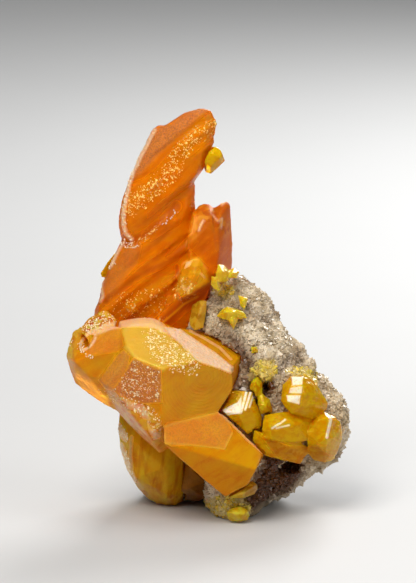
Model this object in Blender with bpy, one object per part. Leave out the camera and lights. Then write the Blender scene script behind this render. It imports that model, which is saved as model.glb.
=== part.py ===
# Native sulfur specimen: crystals of sulfur grown on a crusted lump of rock.
# Corners are measured in the front view in millimetres: across from the middle, up from the lowest
# point of the foot, and back, which is the depth away from the viewer.

import math
import random

import bmesh
import bpy
from mathutils import Matrix, Vector, noise

MM = 0.001

# The front view looks down at the specimen by this angle.
VIEW_TILT = math.radians(12.0)
# Depth at which the front view's height zero lies on the ground.
FOOT_BACK = -12.0
# Depth of the middle of the specimen, which becomes the origin.
MIDDLE_BACK = -3.0
# Clearance between neighbouring pieces.
GAP = 0.3

# The blade's growth ridges climb to the right by this angle in the front view.
RIDGE_TILT = math.radians(38.0)

# Rock surface: mesh size, thickness of its crust, swelling and grit with their wavelengths.
ROCK_CELL = 1.85
ROCK_CRUST = 0.55
ROCK_SWELL = 0.8
ROCK_SWELL_WAVE = 6.5
ROCK_GRIT = 0.3
ROCK_GRIT_WAVE = 2.2
# Larger crystals of the crust: how many, least spacing, and shortest and longest edge.
CRUST_COUNT = 95
CRUST_SPACING = 2.4
CRUST_EDGE = (1.0, 1.7)
CRUST_SEED = 11
# Height below which the rock bears no larger crust crystals.
CRUST_FLOOR = 2.5
# Width and depth of the slab that cuts the rock flat at the ground.
SLAB_WIDTH = 80.0
SLAB_DEPTH = 20.0
# Half width, half length and depth of the ring-shaped hollow, and how far its rim stands out.
RING_HALF_WIDTH = 0.6
RING_HALF_LENGTH = 1.5
RING_DEPTH = 1.8
RING_RIM = 0.25
RING_STAND = 0.5
RING_SIDES = 12
# Share by which a joined or cut volume may miss its bounds before the other solver is used.
VOLUME_SLACK = 0.001


def at(across, up, back):
    """World point of a place in the front view."""
    height = (up - (back - FOOT_BACK) * math.sin(VIEW_TILT)) / math.cos(VIEW_TILT)
    return Vector((across, back - MIDDLE_BACK, height)) * MM


def ground(across, back, below=2.0):
    """World point under the ground, which the flat foot is later cut from."""
    return Vector((across, back - MIDDLE_BACK, -below)) * MM


def on_facet(across, up, corners):
    """Place in the front view on the plane through three corners of a facet."""
    first, second, third = (Vector(corner) for corner in corners)
    normal = (second - first).cross(third - first)
    back = first.z - ((across - first.x) * normal.x + (up - first.y) * normal.y) / normal.z
    return (across, up, back)


def places(corners):
    """World points of a list of corners in the front view."""
    return [at(*corner) for corner in corners]


def swollen(points):
    """Points of the same block grown by the gap on every side."""
    grown = []
    for point in points:
        for x in (-GAP, GAP):
            for y in (-GAP, GAP):
                for z in (-GAP, GAP):
                    grown.append(point + Vector((x, y, z)) * MM)
    return grown


def hull(points):
    """Closed convex mesh around some points."""
    mesh = bmesh.new()
    for point in points:
        mesh.verts.new(point)
    made = bmesh.ops.convex_hull(mesh, input=mesh.verts)
    loose = {item for key in ("geom_interior", "geom_unused") for item in made[key]}
    loose = [item for item in loose if isinstance(item, bmesh.types.BMVert) and not item.link_faces]
    bmesh.ops.delete(mesh, geom=loose, context="VERTS")
    bmesh.ops.dissolve_limit(mesh, angle_limit=math.radians(0.5), verts=mesh.verts, edges=mesh.edges)
    bmesh.ops.recalc_face_normals(mesh, faces=mesh.faces)
    return mesh


def add_object(name, mesh):
    """Scene object from a bmesh."""
    data = bpy.data.meshes.new(name)
    mesh.to_mesh(data)
    mesh.free()
    piece = bpy.data.objects.new(name, data)
    bpy.context.scene.collection.objects.link(piece)
    return piece


def bake(piece):
    """Make the object's mesh what its modifiers show."""
    graph = bpy.context.evaluated_depsgraph_get()
    data = bpy.data.meshes.new_from_object(piece.evaluated_get(graph))
    piece.modifiers.clear()
    piece.data = data


def volume(data):
    """Volume of a closed mesh."""
    mesh = bmesh.new()
    mesh.from_mesh(data)
    size = mesh.calc_volume()
    mesh.free()
    return size


def combine(piece, mesh, operation):
    """Join a bmesh to an object or cut it out of the object."""
    tool = add_object("tool", mesh)
    plain = piece.data
    body, other = volume(plain), volume(tool.data)
    least, most = (max(body, other), body + other) if operation == "UNION" else (body - other, body)
    for solver in ("EXACT", "MANIFOLD"):
        piece.data = plain
        boolean = piece.modifiers.new("boolean", "BOOLEAN")
        boolean.object = tool
        boolean.operation = operation
        boolean.solver = solver
        bake(piece)
        if least * (1.0 - VOLUME_SLACK) < volume(piece.data) < most * (1.0 + VOLUME_SLACK):
            break
    bpy.data.objects.remove(tool)


def keep_largest(piece):
    """Drop crumbs that a cut has left beside the body."""
    mesh = bmesh.new()
    mesh.from_mesh(piece.data)
    unseen = set(mesh.faces)
    bodies = []
    while unseen:
        body = {unseen.pop()}
        edge_of_body = list(body)
        while edge_of_body:
            face = edge_of_body.pop()
            for edge in face.edges:
                for other in edge.link_faces:
                    if other in unseen:
                        unseen.remove(other)
                        body.add(other)
                        edge_of_body.append(other)
        bodies.append(body)
    bodies.sort(key=lambda body: sum(face.calc_area() for face in body))
    crumbs = [face for body in bodies[:-1] for face in body]
    bmesh.ops.delete(mesh, geom=crumbs, context="FACES")
    mesh.to_mesh(piece.data)
    mesh.free()


def finish(name, colour, roughness, transmission=0.0):
    """Principled material of one sub-part."""
    material = bpy.data.materials.new(name)
    material.use_nodes = True
    shader = material.node_tree.nodes["Principled BSDF"]
    shader.inputs["Base Color"].default_value = (*colour, 1.0)
    shader.inputs["Roughness"].default_value = roughness
    shader.inputs["Metallic"].default_value = 0.0
    shader.inputs["Transmission Weight"].default_value = transmission
    return material


def crystal(name, blocks, material, neighbours=()):
    """Union of convex blocks, cut clear of its neighbours' blocks."""
    piece = add_object(name, hull(blocks[0]))
    for block in blocks[1:]:
        combine(piece, hull(block), "UNION")
    clear(piece, neighbours)
    piece.data.materials.clear()
    piece.data.materials.append(material)
    return piece


def reach(points):
    """Lowest and highest corners of some points."""
    low = Vector([min(point[axis] for point in points) for axis in range(3)])
    high = Vector([max(point[axis] for point in points) for axis in range(3)])
    return low, high


def clear(piece, blocks):
    """Cut the swollen form of every block that the piece can touch out of it."""
    low, high = reach([vertex.co for vertex in piece.data.vertices])
    for block in blocks:
        grown = swollen(block)
        block_low, block_high = reach(grown)
        apart = any(block_low[k] > high[k] or block_high[k] < low[k] for k in range(3))
        if not apart:
            combine(piece, hull(grown), "DIFFERENCE")
    keep_largest(piece)


# Front crystal

def front_facets():
    """Corners of the front crystal's central block, facet by facet."""
    nose = (-7.5, 25.7, -20.0)
    big_right = (4.0, 25.2, -14.0)
    big_low = (1.7, 18.6, -14.0)
    big = (nose, big_right, big_low)
    shoulder = on_facet(-2.2, 27.0, big)
    keel = on_facet(-8.0, 16.5, big)
    upper = (nose, shoulder, (-9.3, 33.3, -11.2))
    upper_left = on_facet(-12.2, 27.6, upper)
    upper_end = on_facet(-7.8, 32.6, upper)
    glossy = (upper_end, shoulder, big_right)
    sparkly = (nose, upper_left, keel)
    return {
        "big": [nose, big_right, big_low, shoulder, keel,
                on_facet(4.2, 22.5, big), on_facet(-3.0, 17.2, big)],
        "upper": [upper_left, upper_end, on_facet(-9.3, 33.3, upper), on_facet(-12.5, 33.2, upper),
                  on_facet(-14.3, 32.3, upper), on_facet(-13.7, 29.7, upper)],
        "glossy": [on_facet(-4.8, 32.2, glossy), on_facet(0.0, 29.3, glossy),
                   on_facet(3.3, 27.0, glossy)],
        "sparkly": [on_facet(-14.3, 24.2, sparkly), on_facet(-15.6, 22.2, sparkly),
                    on_facet(-9.7, 14.4, sparkly)],
        "pale": [(-15.0, 28.4, -15.6), (-18.0, 23.8, -13.6)],
        "rim": [(-14.7, 33.7, -7.5), (-12.5, 34.1, -7.5), (-9.3, 34.2, -7.5)],
        "underside": [(-14.8, 18.2, -9.0), (-11.3, 14.5, -9.5), (-8.0, 11.5, -11.5)],
        "rear": [(-14.0, 30.0, -4.0), (-8.0, 32.0, -4.5), (-1.0, 29.5, -5.0), (3.0, 24.0, -6.0),
                 (1.0, 17.5, -6.5), (-8.0, 14.5, -5.5), (-14.0, 20.5, -4.5)],
    }


def front_lobe():
    """Round left lobe of the front crystal."""
    top = (-14.7, 32.7, -12.5)
    crease = (-15.0, 28.5, -15.5)
    cheek = (-20.5, 27.8, -13.0)
    frosted = (top, crease, cheek)
    lower = (cheek, crease, (-18.0, 24.3, -13.0))
    return [
        top, crease, cheek, lower[2],
        on_facet(-18.8, 31.3, frosted), on_facet(-19.7, 24.2, lower), on_facet(-22.2, 26.8, lower),
        (-23.7, 27.8, -8.0), (-23.3, 29.4, -8.0), (-22.5, 32.0, -7.5), (-20.5, 33.2, -8.0),
        (-23.0, 25.3, -8.0), (-22.2, 23.3, -7.5), (-20.0, 21.5, -8.0), (-17.5, 19.8, -8.5),
        (-14.8, 18.4, -9.0), (-22.0, 29.0, -4.0), (-20.0, 24.0, -4.0), (-15.0, 30.0, -4.0),
        (-15.0, 21.0, -4.0),
    ]


def front_lump():
    """Glassy lump on the lobe's upper left."""
    return [
        (-20.7, 33.2, -7.0), (-19.9, 34.2, -7.0), (-18.3, 35.0, -7.0), (-17.5, 35.5, -7.2),
        (-16.8, 35.5, -7.2), (-16.2, 34.8, -7.5), (-15.2, 33.9, -8.0), (-20.4, 31.4, -10.3),
        (-18.0, 32.6, -10.8), (-15.5, 32.6, -10.5), (-19.5, 32.5, -3.8), (-16.0, 32.5, -3.8),
    ]


def front_backpiece():
    """Part of the front crystal that shows behind its glossy facet, on the right."""
    return [
        (-5.0, 32.5, -6.5), (-2.2, 32.2, -5.5), (-0.8, 32.0, -5.0), (2.3, 30.4, -5.5),
        (5.8, 28.7, -6.5), (6.0, 27.7, -7.0), (5.2, 24.6, -8.0), (4.0, 22.4, -9.5),
        (2.3, 19.8, -10.0), (-4.8, 31.6, -9.5), (0.0, 29.0, -10.4), (4.0, 26.0, -12.4),
        (-3.0, 29.0, -2.5), (4.0, 26.5, -3.0), (3.5, 21.0, -5.0), (-1.0, 19.0, -5.0),
    ]


def front_prism():
    """Long prism that points down to the right."""
    ridge_left = (-7.4, 13.4, -19.8)
    ridge_right = (8.0, 8.9, -17.2)
    upper = (ridge_left, ridge_right, (1.8, 18.3, -14.6))
    lower = (ridge_left, ridge_right, (2.8, 4.3, -14.6))
    return [
        ridge_left, ridge_right, upper[2], lower[2],
        on_facet(-7.5, 16.4, upper), on_facet(-3.8, 17.1, upper), on_facet(9.1, 11.6, upper),
        on_facet(-5.8, 11.7, lower), on_facet(-2.2, 8.8, lower), on_facet(6.6, 6.3, lower),
        (2.3, 18.2, -12.8), (9.3, 11.3, -12.5), (2.0, 17.0, -8.5), (8.3, 10.4, -9.0),
        (5.3, 6.4, -9.5), (3.0, 4.9, -11.0), (-4.0, 15.0, -9.0), (-3.0, 10.2, -10.0),
    ]


def front_blocks():
    """World points of every block of the front crystal."""
    centre = [corner for facet in front_facets().values() for corner in facet]
    lists = (centre, front_lobe(), front_lump(), front_backpiece(), front_prism())
    return [places(corners) for corners in lists]


def ring_hollow(piece):
    """Ring-shaped hollow with a raised rim on the lobe."""
    centre = Matrix.Translation(at(-20.3, 30.3, -11.2))
    lean = Matrix.Rotation(math.radians(-34.0), 4, "Y")
    face = Matrix.Rotation(math.radians(58.0), 4, "X") @ Matrix.Rotation(math.radians(-25.0), 4, "Y")
    for rim, rise, operation in ((RING_RIM, RING_STAND, "UNION"), (0.0, 2.0 * RING_STAND, "DIFFERENCE")):
        mesh = bmesh.new()
        oval = Matrix.Diagonal((RING_HALF_WIDTH + rim, RING_HALF_LENGTH + rim, RING_DEPTH + rise, 1.0))
        middle = Matrix.Translation((0.0, 0.0, 0.5 * (rise - RING_DEPTH) * MM))
        bmesh.ops.create_cone(mesh, cap_ends=True, segments=RING_SIDES, radius1=MM, radius2=MM,
                              depth=MM, matrix=centre @ lean @ face @ middle @ oval)
        combine(piece, mesh, operation)


# Tall crystal

def blade_loop(mesh, rise, left, right, thick, back, recess):
    """Closed ring of edges across the blade at one height along its growth direction."""
    outline = (
        (0.00, 0.05, 0.0), (0.05, -0.40, 0.4), (0.28, -0.86, 1.0), (0.60, -1.00, 1.0),
        (0.90, -0.66, 0.7), (1.00, -0.08, 0.0), (0.88, 0.60, 0.5), (0.55, 0.90, 1.0),
        (0.18, 0.66, 0.5),
    )
    ring = []
    for part, depth, share in outline:
        along = left + (right - left) * part
        across = along * math.cos(RIDGE_TILT) - rise * math.sin(RIDGE_TILT)
        up = along * math.sin(RIDGE_TILT) + rise * math.cos(RIDGE_TILT)
        inward = recess * share * (1.0 if depth < 0.0 else -1.0)
        ring.append(mesh.verts.new(at(across, up, back + depth * thick + inward)))
    return [mesh.edges.new((ring[k - 1], ring[k])) for k in range(len(ring))]


# Rise along the growth direction, left and right ends, half thickness, depth and recess of the
# face, one line for each edge of a growth ridge.
BLADE = (
    (57.4, 33.0, 34.4, 0.9, 1.0, 0.0),
    (56.7, 31.6, 35.2, 1.5, 0.9, 0.0),
    (56.3, 30.9, 39.2, 1.8, 0.9, 0.0),
    (55.4, 28.8, 41.4, 2.2, 0.8, 0.0),
    (54.2, 26.7, 42.8, 2.5, 0.7, 0.0),
    (53.8, 25.7, 42.9, 2.6, 0.7, 0.4),
    (51.7, 22.3, 42.3, 2.9, 0.6, 0.0),
    (51.3, 21.7, 41.9, 3.0, 0.6, 0.4),
    (49.4, 19.5, 39.9, 3.2, 0.6, 0.0),
    (48.9, 19.1, 38.9, 3.3, 0.6, 0.4),
    (46.9, 17.9, 35.8, 3.6, 0.7, 0.0),
    (46.2, 17.6, 33.4, 3.7, 0.8, 0.5),
    (45.2, 16.0, 32.7, 3.9, 0.9, 1.2),
    (44.4, 14.2, 32.0, 4.2, 1.0, 0.3),
    (42.6, 11.0, 30.6, 4.5, 1.2, 0.0),
    (41.9, 10.2, 30.0, 4.6, 1.3, 0.7),
    (40.4, 8.2, 29.0, 4.9, 1.5, 0.0),
    (39.7, 6.8, 28.6, 5.0, 1.6, 0.8),
    (38.3, 5.4, 28.0, 5.2, 1.8, 0.0),
    (37.6, 5.2, 27.6, 5.3, 1.9, 0.8),
    (35.3, 6.0, 26.6, 5.5, 2.2, 0.0),
    (34.6, 6.6, 26.2, 5.5, 2.4, 0.7),
    (31.6, 9.0, 25.0, 5.4, 2.8, 0.0),
    (28.5, 12.0, 22.0, 4.4, 3.2, 0.0),
)


def blade_mesh():
    """Ridged blade as a loft along its growth direction."""
    mesh = bmesh.new()
    rings = [blade_loop(mesh, *line) for line in BLADE]
    for lower, upper in zip(rings, rings[1:]):
        bmesh.ops.bridge_loops(mesh, edges=lower + upper)
    for ring in (rings[0], rings[-1]):
        bmesh.ops.contextual_create(mesh, geom=ring)
    bmesh.ops.recalc_face_normals(mesh, faces=mesh.faces)
    return mesh


def blade_blocks():
    """Convex blocks that follow the blade, for cutting its neighbours clear."""
    blocks = []
    for pair in zip(BLADE[::2], BLADE[2::2]):
        mesh = bmesh.new()
        for line in pair:
            blade_loop(mesh, *line[:5], 0.0)
        blocks.append([vertex.co.copy() for vertex in mesh.verts])
        mesh.free()
    return blocks


def shoulder_blocks():
    """Two shoulder lobes, the bright inner block and the stem of the tall crystal."""
    first = [
        (-1.5, 53.0, 0.0), (-0.5, 53.3, -0.3), (0.3, 53.2, -0.3), (0.9, 52.6, 0.0),
        (-2.6, 51.4, -2.6), (0.6, 51.2, -3.4), (-3.6, 47.0, -4.6), (1.1, 47.2, -4.4),
        (-2.4, 42.0, -5.4), (1.6, 41.6, -5.0), (0.4, 40.4, -4.4), (-2.0, 51.0, 3.5),
        (0.9, 51.0, 3.5), (-2.5, 42.0, 5.5), (1.6, 41.0, 5.5),
    ]
    second = [
        (1.1, 52.6, -0.4), (2.5, 53.4, 0.0), (3.2, 53.7, 0.3), (3.7, 53.2, 0.6),
        (3.8, 49.0, 0.6), (4.1, 46.5, 0.6), (3.7, 45.0, 0.6), (4.0, 42.6, 0.8),
        (0.7, 50.0, -2.8), (0.4, 44.0, -4.2), (0.2, 41.5, -4.2), (1.6, 50.4, -3.3),
        (1.7, 44.0, -4.7), (1.4, 41.2, -4.4), (3.4, 40.5, 0.0), (0.2, 52.0, 2.5),
        (2.4, 52.0, 3.6), (3.6, 45.0, 4.6), (3.2, 40.5, 4.6), (0.2, 41.0, 4.6),
    ]
    bright = [
        (-4.2, 42.6, -5.6), (-3.0, 44.3, -4.6), (-1.2, 44.3, -4.8), (0.0, 41.4, -5.6),
        (0.4, 40.2, -5.4), (-1.2, 39.3, -6.6), (-3.0, 38.2, -6.8), (-4.3, 37.6, -6.2),
        (-5.5, 38.5, -5.6), (-5.0, 40.3, -5.8), (-2.2, 41.6, -7.4), (-4.0, 43.0, -1.0),
        (0.0, 43.0, -1.0), (0.0, 38.5, -1.0), (-5.0, 37.5, -1.0),
    ]
    stem = [
        (-4.2, 38.2, -4.4), (0.6, 40.2, -4.2), (-0.2, 37.6, -3.8), (-3.2, 33.0, -3.4),
        (-8.0, 33.0, -2.8), (-1.0, 34.0, 1.0), (1.0, 40.0, 5.0), (-3.0, 33.0, 7.0),
        (-9.0, 35.0, 6.0), (-6.0, 28.5, -1.5), (-9.0, 29.0, 0.0), (-7.0, 28.0, 6.0),
        (-2.5, 30.0, 5.0),
    ]
    return [places(corners) for corners in (first, second, bright, stem)]


def tall_crystal(material, neighbours):
    """Blade, lobes, bright block and stem in one solid."""
    piece = add_object("tall_crystal", blade_mesh())
    for block in shoulder_blocks():
        combine(piece, hull(block), "UNION")
    clear(piece, neighbours)
    piece.data.materials.clear()
    piece.data.materials.append(material)
    return piece


# Smaller crystals

def tip_corners():
    """Small yellow crystal on the blade's right edge."""
    return [
        (0.7, 63.1, 0.4), (1.3, 62.8, 0.0), (2.1, 62.2, 0.2), (2.5, 61.4, 0.2), (2.8, 60.4, 0.8),
        (1.9, 59.5, 0.0), (0.5, 58.2, 0.6), (-0.8, 58.6, 0.6), (1.0, 61.5, -1.5),
        (2.0, 60.9, -1.2), (0.4, 59.4, -1.4), (-1.0, 60.5, -1.6), (-1.4, 62.6, -1.0),
        (0.8, 62.4, 2.8), (2.4, 60.8, 2.6), (0.6, 58.9, 2.6), (-1.4, 60.0, 2.4),
    ]


def edge_corners():
    """Thin yellow crystal on the blade's left edge."""
    return [
        (-15.6, 45.0, 2.4), (-16.8, 43.5, 2.0), (-18.0, 41.6, 2.2), (-17.8, 41.0, 2.4),
        (-16.0, 40.6, 3.4), (-14.2, 42.6, 3.4), (-14.6, 44.6, 3.6), (-17.4, 41.8, 5.2),
        (-16.2, 43.6, 5.0), (-15.0, 41.6, 5.8),
    ]


def base_corners():
    """Amber crystal at the lower left, standing on the ground."""
    return [
        (-14.8, 18.2, -1.0), (-15.0, 15.2, -2.0), (-14.7, 12.7, -2.0), (-13.6, 9.0, -1.8),
        (-12.8, 7.7, -1.0), (-11.8, 5.6, 1.0), (-10.3, 3.9, 2.4), (-8.6, 3.0, 1.6),
        (-7.2, 2.7, 1.0), (-5.4, 2.7, 1.0), (-4.2, 3.4, 2.6), (-13.0, 13.8, -5.4),
        (-12.3, 7.6, -4.0), (-7.2, 9.0, -6.4), (-6.8, 4.4, -3.0), (-4.1, 10.2, -4.0),
        (-4.1, 4.8, -1.4), (-10.0, 17.5, -4.4), (-5.0, 15.0, -5.0), (-14.0, 15.0, 5.5),
        (-13.0, 9.0, 6.0), (-10.0, 5.0, 6.0), (-4.6, 5.0, 6.0), (-4.6, 14.0, 5.5),
    ]


def brown_corners():
    """Darker crystal beside the amber one."""
    return [
        (-4.6, 10.4, -3.2), (-3.0, 9.4, -5.0), (-0.6, 6.9, -5.0), (-0.6, 3.9, -1.4),
        (-1.7, 3.4, 0.6), (-4.6, 3.6, 0.8), (-4.6, 5.2, -3.0), (-3.0, 5.6, -4.6),
        (-4.6, 8.6, 4.4), (-0.5, 6.4, 4.4), (-1.6, 4.5, 4.6), (-4.6, 4.6, 4.6),
    ]


def cluster_blocks():
    """Four lemon-yellow crystals at the right, grown into each other."""
    lantern = [
        (12.4, 23.0, -11.0), (13.8, 24.4, -10.6), (15.4, 24.7, -10.4), (17.0, 24.2, -10.2),
        (18.2, 23.0, -9.6), (18.6, 21.4, -9.4), (19.0, 20.4, -9.4), (20.1, 19.8, -9.0),
        (19.8, 18.9, -9.4), (17.4, 17.3, -11.2), (13.8, 18.3, -13.4), (12.1, 20.2, -12.4),
        (12.6, 21.8, -12.6), (13.9, 24.0, -12.4), (15.8, 24.2, -12.6), (15.8, 21.4, -14.0),
        (13.2, 20.2, -14.2), (15.6, 19.4, -14.0), (17.8, 22.4, -11.6), (18.0, 19.4, -12.2),
        (13.0, 22.0, -5.0), (17.5, 22.5, -4.5), (18.5, 18.5, -4.5), (14.0, 18.5, -5.0),
    ]
    corner = [
        (17.8, 18.2, -9.4), (19.2, 18.6, -9.4), (21.3, 17.7, -9.0), (22.2, 16.6, -8.8),
        (22.5, 15.0, -8.6), (22.4, 13.8, -8.6), (21.8, 12.2, -8.4), (21.2, 10.7, -8.2),
        (20.6, 10.2, -8.2), (19.4, 10.0, -9.0), (17.8, 10.4, -9.6), (16.8, 11.4, -10.4),
        (16.6, 13.4, -11.6), (16.4, 15.0, -11.8), (18.4, 17.2, -12.0), (20.2, 17.4, -11.8),
        (19.8, 14.0, -13.0), (18.4, 13.4, -13.0), (21.2, 14.2, -11.2), (19.6, 11.4, -11.4),
        (18.0, 17.0, -4.0), (21.5, 16.0, -4.0), (20.5, 11.0, -4.0), (17.5, 11.5, -5.0),
    ]
    middle = [
        (9.4, 18.0, -11.4), (12.0, 18.5, -11.6), (14.6, 18.5, -11.2), (16.6, 18.0, -10.6),
        (17.4, 17.2, -10.4), (16.8, 13.8, -11.8), (14.6, 13.5, -13.0), (10.6, 13.6, -13.4),
        (9.0, 15.4, -12.8), (10.4, 16.0, -14.2), (13.0, 17.2, -13.6), (15.0, 16.2, -13.6),
        (10.0, 17.0, -6.0), (16.5, 16.5, -6.0), (15.0, 13.0, -7.0), (10.5, 13.5, -7.0),
    ]
    lower = [
        (10.4, 13.8, -12.4), (14.6, 13.8, -12.0), (16.4, 12.8, -11.0), (17.0, 11.8, -10.6),
        (15.4, 9.8, -11.0), (12.4, 10.5, -12.0), (9.4, 11.2, -12.2), (8.2, 12.2, -12.2),
        (7.4, 13.8, -12.0), (7.7, 15.5, -11.6), (9.6, 14.4, -13.2), (13.6, 12.6, -13.2),
        (8.5, 14.5, -7.0), (15.5, 12.5, -7.0), (13.0, 10.8, -8.0), (9.0, 11.8, -8.0),
    ]
    return [places(corners) for corners in (lantern, corner, middle, lower)]


def saddle_corners():
    """Flat glossy crystal between the front crystal and the cluster."""
    return [
        (2.3, 19.7, -11.4), (4.0, 22.2, -10.4), (6.2, 21.9, -10.8), (7.4, 21.8, -10.6),
        (8.3, 18.9, -11.0), (9.0, 17.5, -10.8), (8.8, 15.9, -11.4), (7.3, 16.0, -12.2),
        (6.6, 14.9, -12.2), (2.4, 18.5, -13.0), (5.0, 18.2, -13.4), (7.0, 19.4, -12.8),
        (4.0, 19.5, -7.0), (8.0, 19.0, -7.0), (7.0, 15.5, -8.0),
    ]


def chip_blocks():
    """Small yellow crystals above the saddle crystal, grown into each other."""
    left = [
        (6.9, 22.4, -10.4), (7.2, 24.0, -9.8), (8.4, 24.4, -9.6), (9.1, 23.4, -9.8),
        (9.0, 21.4, -10.4), (8.0, 21.0, -11.2), (7.8, 23.0, -11.4), (7.4, 22.0, -6.0),
        (9.0, 23.4, -6.0),
    ]
    right = [
        (7.8, 21.2, -10.4), (9.0, 21.6, -10.4), (10.3, 20.6, -10.2), (10.8, 18.8, -10.4),
        (10.4, 17.4, -11.0), (8.8, 18.2, -11.6), (8.2, 19.8, -11.6), (9.6, 19.6, -12.0),
        (8.4, 20.6, -6.0), (10.4, 18.6, -6.0),
    ]
    return [places(corners) for corners in (left, right)]


def star_blocks():
    """Little pointed crystal high on the rock, as a cap with a point below it."""
    cap = [
        (1.4, 34.4, -7.6), (2.2, 35.5, -7.4), (3.2, 36.1, -7.2), (5.0, 35.6, -7.2),
        (5.9, 35.2, -7.4), (6.6, 34.1, -7.8), (5.2, 34.0, -8.6), (2.8, 33.9, -8.8),
        (3.0, 35.2, -9.4), (4.4, 35.2, -9.4), (2.0, 34.8, -4.0), (5.6, 34.8, -4.0),
    ]
    point = [
        (2.8, 34.4, -8.0), (5.2, 34.2, -8.0), (4.6, 33.4, -8.4), (4.3, 32.2, -8.8),
        (3.6, 33.6, -9.2), (4.2, 34.2, -9.4), (4.0, 33.6, -6.0),
    ]
    return [places(corners) for corners in (cap, point)]


SMALL_CRYSTALS = {
    "prism_crystal": [
        (5.0, 38.0, -6.0), (5.9, 37.7, -6.4), (6.7, 37.5, -6.2), (6.4, 36.4, -6.8),
        (6.1, 35.5, -7.2), (5.3, 36.3, -7.2), (5.8, 37.0, -7.6), (5.4, 37.0, -3.4),
        (6.4, 36.8, -3.4),
    ],
    "speck_crystal": [
        (7.1, 29.4, -8.8), (8.2, 29.4, -8.6), (8.4, 28.4, -9.0), (7.2, 28.2, -9.4),
        (7.7, 29.0, -9.9), (7.9, 28.5, -10.0), (7.4, 28.9, -6.2), (8.2, 28.8, -6.2),
    ],
    "nook_crystal": [
        (-2.6, 36.4, -5.0), (-1.3, 37.2, -5.4), (-0.2, 37.1, -5.6), (-0.3, 35.4, -6.6),
        (-0.8, 32.5, -7.4), (-2.2, 32.0, -7.4), (-3.0, 32.8, -6.8), (-3.1, 33.8, -6.4),
        (-2.8, 35.2, -6.2), (-1.6, 34.6, -7.6), (-2.4, 35.0, -2.4), (-0.6, 35.0, -2.4),
    ],
    "toe_crystal": [
        (2.8, 4.4, -13.4), (4.0, 5.2, -13.8), (5.8, 5.6, -13.8), (6.4, 6.6, -13.6),
        (7.3, 7.0, -13.2), (8.2, 6.5, -12.8), (8.3, 5.5, -12.8), (7.7, 4.8, -13.2),
        (5.8, 4.0, -13.8), (4.0, 4.1, -13.8), (5.6, 4.8, -15.0), (7.4, 5.9, -14.6),
        (4.6, 5.2, -8.2), (7.4, 5.8, -8.2),
    ],
    "foot_crystal": [
        (3.0, 1.7, -12.4), (4.0, 2.5, -12.2), (5.3, 2.8, -12.2), (6.5, 2.3, -12.2),
        (7.0, 1.2, -11.9), (6.5, 0.35, -11.6), (5.2, 0.15, -12.0), (4.0, 0.15, -12.0),
        (3.4, 0.6, -12.0), (4.2, 1.6, -13.6), (6.0, 1.5, -13.6), (5.2, 0.6, -13.2),
        (4.0, 2.2, -8.4), (6.2, 2.0, -8.4),
    ],
}


def perch_blocks():
    """Yellow crystals at the top of the rock, beside the tall crystal."""
    low = [
        (0.6, 41.2, -6.2), (1.6, 41.0, -6.4), (1.1, 39.0, -7.0), (1.9, 38.6, -7.2),
        (0.5, 39.6, -6.8), (1.5, 40.2, -7.4), (0.6, 40.0, -4.0), (2.2, 39.4, -4.0),
    ]
    tall = [
        (1.7, 43.2, -5.2), (2.8, 42.9, -4.6), (3.7, 41.9, -4.2), (3.2, 40.2, -5.4),
        (1.8, 40.1, -6.6), (1.2, 41.4, -6.4), (2.4, 42.0, -7.0), (3.2, 41.2, -6.2),
        (2.0, 40.6, -1.5), (3.6, 40.6, -1.5),
    ]
    right = [
        (3.4, 42.2, -3.6), (4.4, 42.6, -3.0), (5.2, 41.8, -3.2), (4.8, 40.8, -4.4),
        (3.4, 40.8, -5.2), (4.2, 41.6, -5.4), (4.0, 41.0, 0.0), (5.0, 41.2, 0.0),
    ]
    return [places(corners) for corners in (low, tall, right)]


# Rock

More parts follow.
